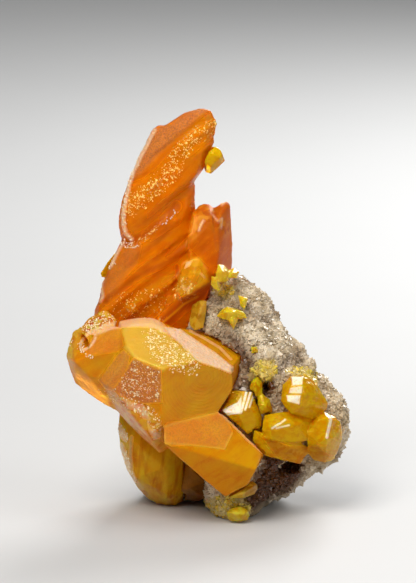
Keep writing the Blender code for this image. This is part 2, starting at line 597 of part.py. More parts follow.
def rock_lumps():
    """World points of the rock's overlapping lumps."""
    top = [
        (-2.0, 36.5, -3.0), (0.0, 40.0, -1.0), (3.5, 41.8, 1.0), (6.5, 41.0, 2.0),
        (9.0, 39.0, 2.0), (9.9, 37.0, 2.0), (8.0, 34.0, -5.0), (1.0, 34.0, -6.0),
        (4.0, 31.0, -8.0), (-2.0, 31.0, -6.0), (1.0, 39.0, 7.0), (7.0, 37.0, 9.0),
        (10.0, 34.0, 8.0), (-3.0, 31.0, 7.0),
    ]
    ridge = [
        (10.2, 35.4, 2.0), (12.2, 32.2, 2.0), (14.2, 30.6, 2.0), (16.0, 27.4, 2.0),
        (18.7, 24.0, 1.0), (8.0, 31.0, -7.0), (3.0, 28.0, -8.6), (12.0, 25.0, -8.6),
        (14.0, 19.0, -8.6), (7.0, 17.0, -9.6), (2.0, 20.0, -8.0), (4.0, 33.0, 10.0),
        (10.0, 31.0, 10.0), (16.0, 24.0, 10.0), (17.0, 17.0, 10.0), (4.0, 15.0, 11.0),
        (-3.0, 30.0, 9.0),
    ]
    wing = [
        (18.3, 24.6, 1.0), (20.2, 23.0, 1.0), (21.2, 21.6, 0.0), (22.5, 19.5, 0.0),
        (23.6, 17.4, -1.0), (23.0, 15.5, -2.0), (21.8, 12.4, -2.0), (20.0, 9.9, -1.0),
        (17.5, 8.7, 0.0), (15.0, 13.0, -7.0), (15.0, 20.0, -7.0), (17.0, 22.0, 8.0),
        (21.0, 15.0, 7.0), (18.0, 10.5, 7.0), (14.0, 12.0, 9.0),
    ]
    core = [
        (-9.0, 30.0, 0.0), (-12.0, 24.0, 2.0), (-12.5, 15.0, 4.0), (-2.0, 33.0, -1.0),
        (3.0, 30.0, -6.0), (0.0, 20.0, -5.0), (-6.0, 18.0, -3.0), (6.0, 14.0, -9.0),
        (12.0, 12.0, -7.0), (-8.0, 28.0, 9.0), (-11.0, 15.0, 10.0), (0.0, 33.0, 9.0),
        (10.0, 20.0, 11.0), (12.0, 10.0, 10.0), (-10.0, 8.0, 10.0), (8.0, 8.0, -6.0),
    ]
    spur = [
        (7.5, 14.0, -9.0), (10.0, 9.4, -8.0), (13.0, 7.2, -3.0), (14.5, 7.0, 1.0),
        (1.0, 9.0, -8.0), (-0.4, 6.6, -5.6), (0.8, 3.2, -8.4), (2.6, 2.6, -11.0),
        (4.8, 5.4, -11.6), (6.8, 3.4, -10.6), (8.6, 3.6, -6.0), (9.0, 3.6, -4.0),
        (11.5, 5.2, 6.0), (2.0, 8.0, 8.0),
    ]
    shelf = [
        (20.2, 10.6, -3.0), (17.6, 9.0, -3.6), (14.8, 7.0, -3.6), (12.2, 5.6, -3.6),
        (10.4, 4.4, -3.0), (19.0, 13.0, -6.0), (14.0, 13.0, -8.0), (9.0, 12.0, -9.0),
        (9.0, 6.0, -8.0), (18.0, 11.0, 6.0), (14.0, 8.6, 8.0), (10.0, 6.6, 8.0),
    ]
    foot = places([(1.0, 6.0, -7.0), (7.0, 6.0, -8.0), (10.5, 6.5, 0.0), (0.0, 7.0, 4.0)])
    foot += [ground(0.2, 4.0), ground(1.6, -4.0), ground(3.0, -9.6), ground(5.0, -11.2),
             ground(6.4, -9.4), ground(7.4, -4.0), ground(9.2, 1.5), ground(10.0, 5.0)]
    heel = places([(-10.0, 9.0, 9.0), (12.0, 8.4, 9.0), (0.0, 12.0, 12.0), (9.0, 7.0, 3.0)])
    heel += [ground(-9.4, 12.0), ground(-9.8, 8.6), ground(0.0, 5.6), ground(9.6, 4.6),
             ground(11.2, 8.6), ground(11.6, 12.0), ground(0.0, 13.5)]
    lists = (top, ridge, wing, core, spur, shelf)
    return [places(corners) for corners in lists] + [foot, heel]


def roughen(mesh):
    """Move the rock's surface in and out along its normals by smooth and fine noise."""
    mesh.normal_update()
    shifts = []
    for vertex in mesh.verts:
        spot = vertex.co / MM
        swell = noise.noise(spot / ROCK_SWELL_WAVE) * ROCK_SWELL
        grit = noise.noise(spot / ROCK_GRIT_WAVE + Vector((7.0, 3.0, 5.0))) * ROCK_GRIT
        shifts.append(vertex.normal * (ROCK_CRUST + swell + grit) * MM)
    for vertex, shift in zip(mesh.verts, shifts):
        vertex.co += shift


def rock_body():
    """Lumps merged into one surface, roughened and cut flat at the ground."""
    mesh = bmesh.new()
    for lump in rock_lumps():
        part = hull(lump)
        data = bpy.data.meshes.new("lump")
        part.to_mesh(data)
        part.free()
        mesh.from_mesh(data)
        bpy.data.meshes.remove(data)
    piece = add_object("matrix", mesh)
    remesh = piece.modifiers.new("remesh", "REMESH")
    remesh.mode = "VOXEL"
    remesh.voxel_size = ROCK_CELL * MM
    bake(piece)
    mesh = bmesh.new()
    mesh.from_mesh(piece.data)
    roughen(mesh)
    mesh.to_mesh(piece.data)
    mesh.free()
    slab = bmesh.new()
    under = Matrix.Translation((0.0, 0.0, -0.5 * SLAB_DEPTH * MM))
    bmesh.ops.create_cube(slab, size=MM,
                          matrix=under @ Matrix.Diagonal((SLAB_WIDTH, SLAB_WIDTH, SLAB_DEPTH, 1.0)))
    combine(piece, slab, "DIFFERENCE")
    return piece


def crust_crystal(place, edge, draw):
    """One blocky little crystal, turned at random and sunk halfway into the rock."""
    mesh = bmesh.new()
    turn = Matrix.Identity(4)
    for axis in "XYZ":
        turn = turn @ Matrix.Rotation(draw.uniform(0.0, math.pi), 4, axis)
    shape = Matrix.Diagonal((edge, edge * 0.85, edge * 0.8, 1.0))
    bmesh.ops.create_cube(mesh, size=MM, matrix=Matrix.Translation(place) @ turn @ shape)
    return mesh


def crust(piece):
    """Grow blocky little crystals out of the rock, spread over its whole surface."""
    draw = random.Random(CRUST_SEED)
    faces = [face for face in piece.data.polygons if face.center.z > CRUST_FLOOR * MM]
    spots = []
    while len(spots) < CRUST_COUNT:
        spot = draw.choice(faces).center.copy()
        if all((spot - other).length > CRUST_SPACING * MM for other in spots):
            spots.append(spot)
    for spot in spots:
        combine(piece, crust_crystal(spot, draw.uniform(*CRUST_EDGE), draw), "UNION")


def rock_holes(piece):
    """Dark holes in the rock and the hollow under the cluster."""
    holes = (
        ((10.0, 22.6, -9.0), (0.9, 3.4, 1.4)),
        ((7.0, 14.8, -10.0), (0.8, 3.0, 1.0)),
        ((13.6, 9.3, -7.0), (2.6, 4.0, 1.4)),
        ((9.0, 20.0, -9.5), (1.4, 2.6, 1.0)),
    )
    for place, size in holes:
        mesh = bmesh.new()
        shape = Matrix.Translation(at(*place)) @ Matrix.Diagonal((*size, 1.0))
        bmesh.ops.create_icosphere(mesh, subdivisions=2, radius=MM, matrix=shape)
        combine(piece, mesh, "DIFFERENCE")


# Assembly

def remove_scene():
    """Start from an empty scene."""
    for piece in list(bpy.data.objects):
        bpy.data.objects.remove(piece)


def build():
    """Make every sub-part, largest crystals first, and the rock last."""
    remove_scene()
    orange = finish("orange_sulfur", (0.60, 0.16, 0.01), 0.28, 0.4)
    pale_orange = finish("pale_orange_sulfur", (0.70, 0.27, 0.03), 0.35, 0.3)
    amber = finish("amber_sulfur", (0.42, 0.16, 0.01), 0.30, 0.4)
    brown = finish("brown_sulfur", (0.16, 0.07, 0.01), 0.40, 0.2)
    yellow = finish("yellow_sulfur", (0.65, 0.42, 0.02), 0.18, 0.4)
    straw = finish("pale_yellow_sulfur", (0.62, 0.50, 0.14), 0.30, 0.3)
    stone = finish("crusted_rock", (0.42, 0.37, 0.28), 0.6)

    front = front_blocks()
    piece = crystal("front_crystal", front, pale_orange)
    ring_hollow(piece)
    tall_crystal(orange, front)
    tall = blade_blocks() + shoulder_blocks()
    crystal("tip_crystal", [places(tip_corners())], yellow, tall)
    crystal("edge_crystal", [places(edge_corners())], yellow, tall)
    large = front + tall

    base = [places(base_corners())]
    crystal("base_crystal", base, amber, front)
    brown_block = [places(brown_corners())]
    crystal("brown_crystal", brown_block, brown, front + base)
    cluster = cluster_blocks()
    crystal("yellow_cluster", cluster, yellow, front)
    saddle = [places(saddle_corners())]
    crystal("saddle_crystal", saddle, yellow, front + cluster)
    chips = chip_blocks()
    crystal("saddle_chips", chips, straw, large + cluster + saddle)
    star = star_blocks()
    crystal("star_crystal", star, straw, large)
    perch = perch_blocks()
    crystal("perch_crystals", perch, straw, tall)
    large += base + brown_block + cluster + saddle + chips + star + perch
    for name, corners in SMALL_CRYSTALS.items():
        block = [places(corners)]
        crystal(name, block, straw, large)
        large += block

    rock = rock_body()
    crust(rock)
    rock_holes(rock)
    clear(rock, large)
    rock.data.materials.clear()
    rock.data.materials.append(stone)


build()
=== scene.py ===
"""Looks of a native sulfur specimen: clear orange and yellow crystals on a rock with a sugary crust.

Lengths are in millimetres unless a name says otherwise, and MM turns them into metres. Marks are drawn
in the front view: across from the specimen's middle, and up from the lowest point of its foot.
"""

import logging
import math
from dataclasses import dataclass, replace
from enum import Enum

import bmesh
import bpy
import numpy as np
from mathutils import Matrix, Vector, noise
from mathutils.bvhtree import BVHTree


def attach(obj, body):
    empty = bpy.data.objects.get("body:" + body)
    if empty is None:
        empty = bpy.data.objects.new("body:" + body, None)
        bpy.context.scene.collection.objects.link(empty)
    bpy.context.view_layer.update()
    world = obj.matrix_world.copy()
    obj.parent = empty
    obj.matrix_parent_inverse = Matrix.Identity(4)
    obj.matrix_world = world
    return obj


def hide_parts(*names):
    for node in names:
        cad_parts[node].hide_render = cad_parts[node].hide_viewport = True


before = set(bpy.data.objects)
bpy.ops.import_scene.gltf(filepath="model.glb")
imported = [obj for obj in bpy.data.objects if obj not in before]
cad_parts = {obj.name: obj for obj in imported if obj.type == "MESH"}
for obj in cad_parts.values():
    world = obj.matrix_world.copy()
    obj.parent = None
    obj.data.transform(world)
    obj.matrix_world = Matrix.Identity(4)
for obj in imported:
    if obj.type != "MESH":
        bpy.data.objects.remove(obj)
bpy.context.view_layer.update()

LOG = logging.getLogger("sulfur")
MM = 0.001

# The front view looks down by this angle. Its height zero lies on the ground at the foot's depth, and
# the middle of the specimen is at the middle depth.
VIEW_TILT = math.radians(12.0)
FOOT_BACK = -12.0
MIDDLE_BACK = -3.0
TO_VIEWER = np.array((0.0, -math.cos(VIEW_TILT), math.sin(VIEW_TILT)))
# Loose corners of a CAD mesh closer than this, in metres, are one corner.
MERGE_M = 1e-6
OVAL_STEPS = 16
# A screen value turns into light along a straight line below the knee, and by a power above it.
SCREEN_FULL = 255.0
SCREEN_KNEE = 0.04045
SCREEN_SLOPE = 12.92
SCREEN_OFFSET = 0.055
SCREEN_POWER = 2.4
# A mix node's inputs for colours and for numbers have the same names, so they are told apart by place.
COLOUR_INPUTS = (6, 7)
COLOUR_OUTPUT = 2
NUMBER_INPUTS = (2, 3)

Triple = tuple[float, float, float]
Colour = Triple
# A span runs from its first value to its second, a relief is a depth and how strongly it shows, and a
# pair is one value for the broad ridges or swells and one for the fine ones.
Span = tuple[float, float]
Relief = tuple[float, float]
Pair = tuple[float, float]
FrontPoint = tuple[float, float]
Path = tuple[FrontPoint, ...]
Socket = bpy.types.NodeSocket


class Mask(str, Enum):
    """Marks that a surface carries, each as a vertex attribute."""

    # Frosted faces, whose pale pink colour is partly a painted sheen of light on them.
    FROST_AND_SHEEN = "frost_and_sheen"
    # Painted glow of light shining through the crystal, and painted glints.
    GLOW = "glow"
    # Darker colour: painted shade in grooves, hollows and on facets that catch little light, and the
    # crystal's own deeper tone in places.
    DEEP_AND_SHADE = "deep_and_shade"
    # Pale crust on edges, and painted highlights and reflections on glossy facets.
    RIM_AND_HIGHLIGHT = "rim"
    SPECK = "speck"
    RINGS = "rings"
    # Brown of the rock, and painted shade in its hollows, valley and pits.
    BROWN_AND_SHADE = "brown_and_shade"
    MOSS = "moss"
    TONE = "tone"
    SUGAR = "sugar"
    CHIP = "chip"


Marks = dict[Mask, np.ndarray]


class Pattern(float, Enum):
    """Patterns of noise, each by its offset."""

    SWELL = 0.0
    WANDER = 3.0
    GRAINS = 5.0
    GRIT = 9.0
    RIDGES = 12.0
    CRUST = 17.0
    TERRACES = 23.0
    CLOUDS = 31.0
    BROWNINGS = 44.0
    BANDS = 61.0
    SHADES = 71.0


# Shapes and marks

def srgb(red: int, green: int, blue: int) -> Colour:
    """Linear colour of three screen values.

    Args:
        red: Red from 0 to 255.
        green: Green from 0 to 255.
        blue: Blue from 0 to 255.

    Returns:
        The same colour as linear light.
    """
    parts = []
    for value in (red, green, blue):
        share = value / SCREEN_FULL
        if share > SCREEN_KNEE:
            parts.append(((share + SCREEN_OFFSET) / (1.0 + SCREEN_OFFSET)) ** SCREEN_POWER)
        else:
            parts.append(share / SCREEN_SLOPE)
    return (parts[0], parts[1], parts[2])


def front_view(points: np.ndarray) -> np.ndarray:
    """Places of some points in the front view.

    Args:
        points: World points in metres, one a row.

    Returns:
        Across and up in millimetres, one point a row.
    """
    back = points[:, 1] / MM + MIDDLE_BACK
    up = points[:, 2] / MM * math.cos(VIEW_TILT) + (back - FOOT_BACK) * math.sin(VIEW_TILT)
    return np.stack((points[:, 0] / MM, up), axis=1)


def at(across: float, up: float, back: float) -> Vector:
    """World point, in metres, of a place in the front view that lies so far back from the viewer."""
    height = (up - (back - FOOT_BACK) * math.sin(VIEW_TILT)) / math.cos(VIEW_TILT)
    return Vector((across, back - MIDDLE_BACK, height)) * MM


def smooth_step(span: Span, values: np.ndarray) -> np.ndarray:
    """Ease values from 0 at the span's start to 1 at its end.

    Args:
        span: Value that gives 0, and value that gives 1.
        values: What is eased.

    Returns:
        Shares from 0 to 1.
    """
    low, high = span
    share = np.clip((values - low) / (high - low), 0.0, 1.0)
    return share * share * (3.0 - 2.0 * share)


def path_distance(spots: np.ndarray, path: Path, closed: bool) -> np.ndarray:
    """Distance of spots from a path of straight stretches.

    Args:
        spots: Places in the front view, one a row.
        path: Corners of the path.
        closed: Whether the last corner joins the first.

    Returns:
        One distance for each spot.
    """
    nearest = np.full(len(spots), np.inf)
    stops = path[1:] + path[:1] if closed else path[1:]
    for start, stop in zip(path, stops):
        origin = np.array(start)
        run = np.array(stop) - origin
        share = np.clip((spots - origin) @ run / (run @ run), 0.0, 1.0)
        gap = spots - origin - share[:, None] * run
        nearest = np.minimum(nearest, np.hypot(gap[:, 0], gap[:, 1]))
    return nearest


def inside(spots: np.ndarray, outline: Path) -> np.ndarray:
    """Tell which spots lie within a closed outline.

    Args:
        spots: Places in the front view, one a row.
        outline: Corners of the outline.

    Returns:
        True for each spot that is within.
    """
    within = np.zeros(len(spots), dtype=bool)
    for (x0, y0), (x1, y1) in zip(outline, outline[1:] + outline[:1]):
        if y0 == y1:
            continue
        beside = (y0 > spots[:, 1]) != (y1 > spots[:, 1])
        crossing = x0 + (spots[:, 1] - y0) * (x1 - x0) / (y1 - y0)
        within ^= beside & (spots[:, 0] < crossing)
    return within


@dataclass(frozen=True)
class Patch:
    """Mark that fills an outline in the front view."""

    mask: Mask
    outline: Path
    strength: float = 1.0
    soft: float = 0.4

    def weight(self, spots: np.ndarray) -> np.ndarray:
        """Strength of the mark at some spots.

        Args:
            spots: Places in the front view, one a row.

        Returns:
            One weight for each spot.
        """
        distance = path_distance(spots, self.outline, True)
        signed = np.where(inside(spots, self.outline), distance, -distance)
        return self.strength * smooth_step((-self.soft, self.soft), signed)


@dataclass(frozen=True)
class Stroke:
    """Mark along a path in the front view."""

    mask: Mask
    path: Path
    width: float
    strength: float = 1.0
    soft: float = 0.3

    def weight(self, spots: np.ndarray) -> np.ndarray:
        """Strength of the mark at some spots.

        Args:
            spots: Places in the front view, one a row.

        Returns:
            One weight for each spot.
        """
        distance = path_distance(spots, self.path, False)
        half = 0.5 * self.width
        return self.strength * (1.0 - smooth_step((half - self.soft, half + self.soft), distance))


Mark = Patch | Stroke


def strengthen(marks: Marks, mask: Mask, values: np.ndarray) -> None:
    """Raise a mark wherever the values are higher."""
    marks[mask] = np.maximum(marks[mask], values)


def oval(middle: FrontPoint, long: float, short: float, turn: float) -> Path:
    """Closed path round an oval in the front view.

    Args:
        middle: Middle of the oval.
        long: Half its length.
        short: Half its width.
        turn: Degrees by which its length climbs to the right.

    Returns:
        The corners of the path, with the first one repeated at the end.
    """
    corners = []
    way = math.radians(turn)
    for step in range(OVAL_STEPS + 1):
        around = 2.0 * math.pi * step / OVAL_STEPS
        along, aside = long * math.cos(around), short * math.sin(around)
        corners.append((middle[0] + along * math.cos(way) - aside * math.sin(way),
                        middle[1] + along * math.sin(way) + aside * math.cos(way)))
    return tuple(corners)


def noise_at(points: np.ndarray, wave: float, shift: float = Pattern.SWELL) -> np.ndarray:
    """Smooth noise at some world points, from about -1 to 1, with lumps as wide as the wave."""
    scaled = points / (wave * MM) + float(shift)
    return np.array([noise.noise(spot) for spot in scaled.tolist()])


def chips_at(points: np.ndarray, wave: float) -> np.ndarray:
    """Heights of a chipped surface at some world points, from 0 to 1, with chips as wide as the wave."""
    scaled = points / (wave * MM)
    return np.array([noise.voronoi(spot)[0][0] for spot in scaled.tolist()])


# Node trees

@dataclass(frozen=True)
class Cloud:
    """Soft noise, of which the low value is turned to 0 and the high value to 1."""

    wave: float
    low: float
    high: float
    detail: float = 3.0
    stir: float = 0.0


class Tree:
    """Short ways to add nodes to a material."""

    def __init__(self, name: str) -> None:
        """Start a material with a Principled shader.

        Args:
            name: Name of the material.
        """
        self.material = bpy.data.materials.new(name)
        self.material.use_nodes = True
        self.nodes = self.material.node_tree.nodes
        self.place = self.add("TexCoord", {}).outputs["Object"]

    def feed(self, socket: Socket, value: object) -> None:
        """Link a socket, or set its value.

        Args:
            socket: Input socket.
            value: Output socket, number or colour.
        """
        if isinstance(value, Socket):
            self.material.node_tree.links.new(value, socket)
        elif isinstance(value, tuple) and socket.type == "RGBA":
            socket.default_value = (*value, 1.0)
        else:
            socket.default_value = value

    def add(self, kind: str, inputs: dict[str | int, object], **options: object) -> bpy.types.Node:
        """Add a node.

        Args:
            kind: The node's type, without the beginning that all have.
            inputs: What its inputs get, by their names or places.
            options: Settings of the node itself.

        Returns:
            The node.
        """
        node = self.nodes.new(f"ShaderNode{kind}")
        for name, value in options.items():
            setattr(node, name, value)
        for name, value in inputs.items():
            self.feed(node.inputs[name], value)
        return node

    def dress(self, inputs: dict[str, object]) -> None:
        """Feed the shader's inputs, by their names."""
        for name, value in inputs.items():
            self.feed(self.nodes["Principled BSDF"].inputs[name], value)

    def mark(self, mask: Mask) -> Socket:
        """Value of one of the surface's marks."""
        return self.add("Attribute", {}, attribute_name=mask.value).outputs["Fac"]

    def math(self, operation: str, first: object, second: object) -> Socket:
        """Arithmetic on two values, held between 0 and 1."""
        return self.add("Math", {0: first, 1: second}, operation=operation, use_clamp=True).outputs[0]

    def times(self, first: object, second: object) -> Socket:
        """Product of two values."""
        return self.math("MULTIPLY", first, second)

    def most(self, first: object, second: object) -> Socket:
        """The larger of two values."""
        return self.math("MAXIMUM", first, second)

    def blend(self, share: object, first: object, second: object) -> Socket:
        """Mix two colours, with the share of the second from 0 to 1."""
        inputs = {0: share, COLOUR_INPUTS[0]: first, COLOUR_INPUTS[1]: second}
        return self.add("Mix", inputs, data_type="RGBA").outputs[COLOUR_OUTPUT]

    def level(self, share: object, first: float, second: float) -> Socket:
        """Mix two numbers, with the share of the second from 0 to 1."""
        return self.add("Mix", {0: share, NUMBER_INPUTS[0]: first, NUMBER_INPUTS[1]: second}).outputs[0]

    def ramp(self, value: Socket, span: Span) -> Socket:
        """Stretch a value so that the span's start gives 0 and its end gives 1."""
        inputs = {"Value": value, "From Min": span[0], "From Max": span[1]}
        return self.add("MapRange", inputs).outputs["Result"]

    def turned(self, turn: float, stretch: Triple) -> Socket:
        """Object coordinates turned about the depth axis and stretched.

        Args:
            turn: Degrees by which the first axis climbs to the right.
            stretch: How long a pattern is drawn out along each turned axis.

        Returns:
            The coordinates' socket.
        """
        rotation = (0.0, math.radians(-turn), 0.0)
        inputs = {"Vector": self.place, "Rotation": rotation, "Scale": stretch}
        return self.add("Mapping", inputs, vector_type="TEXTURE").outputs["Vector"]

    def clouds(self, wave: float, detail: float = 3.0, place: Socket | None = None,
               stir: float = 0.0) -> Socket:
        """Noise with lumps as wide as the wave, on the object's coordinates unless a place is given."""
        inputs = {"Vector": place or self.place, "Scale": 1.0 / (wave * MM), "Detail": detail}
        return self.add("TexNoise", {**inputs, "Distortion": stir}).outputs["Fac"]

    def cloud(self, cloud: Cloud) -> Socket:
        """Stretched noise texture."""
        return self.ramp(self.clouds(cloud.wave, cloud.detail, None, cloud.stir), (cloud.low, cloud.high))

    def cells(self, size: float) -> tuple[Socket, Socket]:
        """Cells with a random value each.

        Args:
            size: Width of a cell.

        Returns:
            Distance from the cell's middle, and the cell's random value.
        """
        cell = self.add("TexVoronoi", {"Vector": self.place, "Scale": 1.0 / (size * MM)})
        split = self.add("SeparateColor", {"Color": cell.outputs["Color"]})
        return cell.outputs["Distance"], split.outputs["Red"]

    def bump(self, height: Socket, depth: float, strength: object, normal: Socket | None = None) -> Socket:
        """Bumped normal.

        Args:
            height: Height from 0 to 1.
            depth: Millimetres between height 0 and 1.
            strength: How strongly it shows.
            normal: Normal that it is added to.

        Returns:
            The normal's socket.
        """
        inputs = {"Distance": depth * MM, "Strength": strength, "Height": height}
        if normal is not None:
            inputs["Normal"] = normal
        return self.add("Bump", inputs).outputs["Normal"]

    def absorb(self, colour: Colour, density: float) -> None:
        """Tint light on its way through the solid, the more so the denser it is."""
        volume = self.add("VolumeAbsorption", {"Color": colour, "Density": density}).outputs["Volume"]
        self.feed(self.nodes["Material Output"].inputs["Volume"], volume)


# Finishes

@dataclass(frozen=True)
class Sulfur:
    """Clear sulfur of one colour, with frosted and crusted places, and painted glow, sheen, shade and
    highlights.
    """

    name: str
    slot: str
    body: Colour
    light: Colour
    # The deep colour also serves as painted shade, the frost colour as painted sheen, the glow colour as
    # painted glow, and the rim colour as painted highlights besides crust.
    deep_and_shade: Colour
    frost_and_sheen: Colour
    glow: Colour
    rim: Colour = srgb(238, 200, 160)
    speck: Colour = srgb(255, 226, 150)
    tint: Colour = srgb(255, 205, 120)
    absorbed: Colour = (1.0, 0.75, 0.0)
    density: float = 260.0
    clear: float = 0.4
    crusted_clear: float = 0.05
    milky: float = 0.8
    crusted_milky: float = 0.2
    crust_cover: float = 0.8
    milk_reach: float = 1.2
    milk_spread: Triple = (1.0, 0.5, 0.06)
    gloss: float = 0.25
    frost_gloss: float = 0.55
    speck_gloss: float = 0.15
    index: float = 1.5
    shine: float = 0.22
    patches: Cloud = Cloud(3.2, 0.35, 0.68, stir=0.4)
    streak_turn: float = 38.0
    streak_width: float = 1.3
    streak_stretch: Triple = (7.0, 2.5, 1.0)
    streak_stir: float = 0.6
    streak: float = 0.5
    dark_streaks: Span = (0.5, 0.34)
    light_streaks: Span = (0.54, 0.7)
    streak_relief: Relief = (0.08, 0.3)
    sand: float = 0.25
    sand_cloud: Cloud = Cloud(0.24, 0.38, 0.62)
    sand_depth: float = 0.04
    sand_strength: Span = (0.12, 0.9)
    frost_cell: float = 0.22
    frost_dark: float = 0.62
    frost_cover: float = 0.6
    crust_gaps: Cloud = Cloud(0.35, 0.2, 0.5, detail=4.0)
    chip_size: float = 0.9
    chip_shades: Span = (0.1, 0.8)
    vein: float = 0.4
    vein_turn: float = 7.0
    vein_width: float = 2.2
    vein_detail: float = 4.0
    vein_stretch: Triple = (3.0, 1.5, 1.0)
    vein_stir: float = 0.9
    vein_sides: tuple[Span, Span] = ((0.488, 0.5), (0.512, 0.5))
    fleck_clumps: Cloud = Cloud(0.9, 0.38, 0.58, detail=2.0)
    fleck_thin: float = 0.2
    fleck_share: float = 0.42
    fleck_sizes: Triple = (0.17, 0.28, 0.45)
    fleck_edge: Span = (0.6, 0.3)
    fleck_relief: Relief = (0.06, 0.8)
    ring_middle: Triple = (-0.4, 24.0, -17.0)
    ring_scale: float = 0.55
    ring_stir: float = 2.5
    ring_edge: Span = (0.55, 1.0)
    ring_light: float = 0.45
    ring_relief: Relief = (0.06, 0.8)

    def material(self) -> bpy.types.Material:
        """Build the finish.

        Returns:
            The material.
        """
        tree = Tree(self.name)
        frost_and_sheen, rim = tree.mark(Mask.FROST_AND_SHEEN), tree.mark(Mask.RIM_AND_HIGHLIGHT)
        along = tree.turned(self.streak_turn, self.streak_stretch)
        streaks = tree.clouds(self.streak_width, place=along, stir=self.streak_stir)
        sand, flecks, contours = tree.cloud(self.sand_cloud), self.flecks(tree), self.contours(tree)
        _, chance = tree.cells(self.frost_cell)
        grains = tree.blend(chance, tuple(self.frost_dark * part for part in self.frost_and_sheen), self.frost_and_sheen)
        body = self.depths(tree, streaks, sand)
        # Frosted faces; their pale pink is partly a painted sheen.
        body = tree.blend(tree.times(frost_and_sheen, tree.level(sand, self.frost_cover, 1.0)), body, grains)
        # Pale crust, and painted highlights and reflections.
        body = tree.blend(tree.times(rim, tree.cloud(self.crust_gaps)), body, self.rim)
        body = tree.blend(tree.times(contours, self.ring_light), body, self.light)
        dull = tree.most(frost_and_sheen, rim)
        rough = tree.level(tree.most(dull, tree.mark(Mask.DEEP_AND_SHADE)), self.gloss, self.frost_gloss)
        solid = tree.most(tree.times(dull, self.crust_cover), flecks)
        normal = tree.bump(streaks, *self.streak_relief)
        normal = tree.bump(sand, self.sand_depth, tree.level(dull, *self.sand_strength), normal)
        normal = tree.bump(flecks, *self.fleck_relief, normal)
        tree.dress({
            "Base Color": tree.blend(flecks, body, self.speck),
            "Roughness": tree.level(flecks, rough, self.speck_gloss),
            "Transmission Weight": tree.level(solid, self.clear, self.crusted_clear),
            "IOR": self.index,
            "Specular IOR Level": self.shine,
            "Specular Tint": self.tint,
            "Subsurface Weight": tree.level(solid, self.milky, self.crusted_milky),
            "Subsurface Radius": self.milk_spread,
            "Subsurface Scale": self.milk_reach * MM,
            "Normal": tree.bump(contours, *self.ring_relief, normal),
        })
        tree.absorb(self.absorbed, self.density)
        return tree.material

    def depths(self, tree: Tree, streaks: Socket, sand: Socket) -> Socket:
        """Colour of the clear solid, with clouds, streaks, painted glow and painted shade.

        Args:
            tree: Tree that the nodes are added to.
            streaks: Noise drawn out along the growth.
            sand: Fine noise.

        Returns:
            The colour's socket.
        """
        body = tree.blend(tree.cloud(self.patches), self.body, self.light)
        body = tree.blend(tree.times(sand, self.sand), body, self.light)
        dark = tree.times(tree.ramp(streaks, self.dark_streaks), self.streak)
        # Dark streaks, and painted shade where the surface is marked deep.
        body = tree.blend(tree.most(dark, tree.mark(Mask.DEEP_AND_SHADE)), body, self.deep_and_shade)
        pale = tree.times(tree.ramp(streaks, self.light_streaks), self.streak)
        body = tree.blend(pale, body, self.light)
        # Painted glow of light shining through the crystal.
        body = tree.blend(tree.mark(Mask.GLOW), body, self.glow)
        _, chance = tree.cells(self.chip_size)
        chips = tree.blend(tree.ramp(chance, self.chip_shades), self.deep_and_shade, self.glow)
        body = tree.blend(tree.mark(Mask.CHIP), body, chips)
        return tree.blend(tree.times(self.veins(tree), self.vein), body, self.light)

    def veins(self, tree: Tree) -> Socket:
        """Thin crooked healed cracks along the growth.

        Args:
            tree: Tree that they are added to.

        Returns:
            Their mask's socket.
        """
        along = tree.turned(self.streak_turn + self.vein_turn, self.vein_stretch)
        cloud = tree.clouds(self.vein_width, self.vein_detail, along, self.vein_stir)
        return tree.times(*(tree.ramp(cloud, side) for side in self.vein_sides))

    def flecks(self, tree: Tree) -> Socket:
        """Bright flecks of three sizes, in clumps, where the surface is marked for them.

        Args:
            tree: Tree that they are added to.

        Returns:
            Their mask's socket.
        """
        clump = tree.level(tree.cloud(self.fleck_clumps), self.fleck_thin, 1.0)
        dense = tree.times(tree.mark(Mask.SPECK), clump)
        rare = tree.math("SUBTRACT", 1.0, tree.times(dense, self.fleck_share))
        mask = 0.0
        for size in self.fleck_sizes:
            distance, chance = tree.cells(size)
            chosen = tree.math("GREATER_THAN", chance, rare)
            mask = tree.most(mask, tree.times(chosen, tree.ramp(distance, self.fleck_edge)))
        return mask

    def contours(self, tree: Tree) -> Socket:
        """Thin growth contours, closed one within the other.

        Args:
            tree: Tree that they are added to.

        Returns:
            Their height's socket.
        """
        place = {"Vector": tree.place, "Location": at(*self.ring_middle)}
        middle = tree.add("Mapping", place, vector_type="TEXTURE").outputs["Vector"]
        inputs = {"Vector": middle, "Scale": self.ring_scale / MM, "Distortion": self.ring_stir}
        wave = tree.add("TexWave", inputs, wave_type="RINGS", rings_direction="SPHERICAL")
        return tree.times(tree.ramp(wave.outputs["Fac"], self.ring_edge), tree.mark(Mask.RINGS))


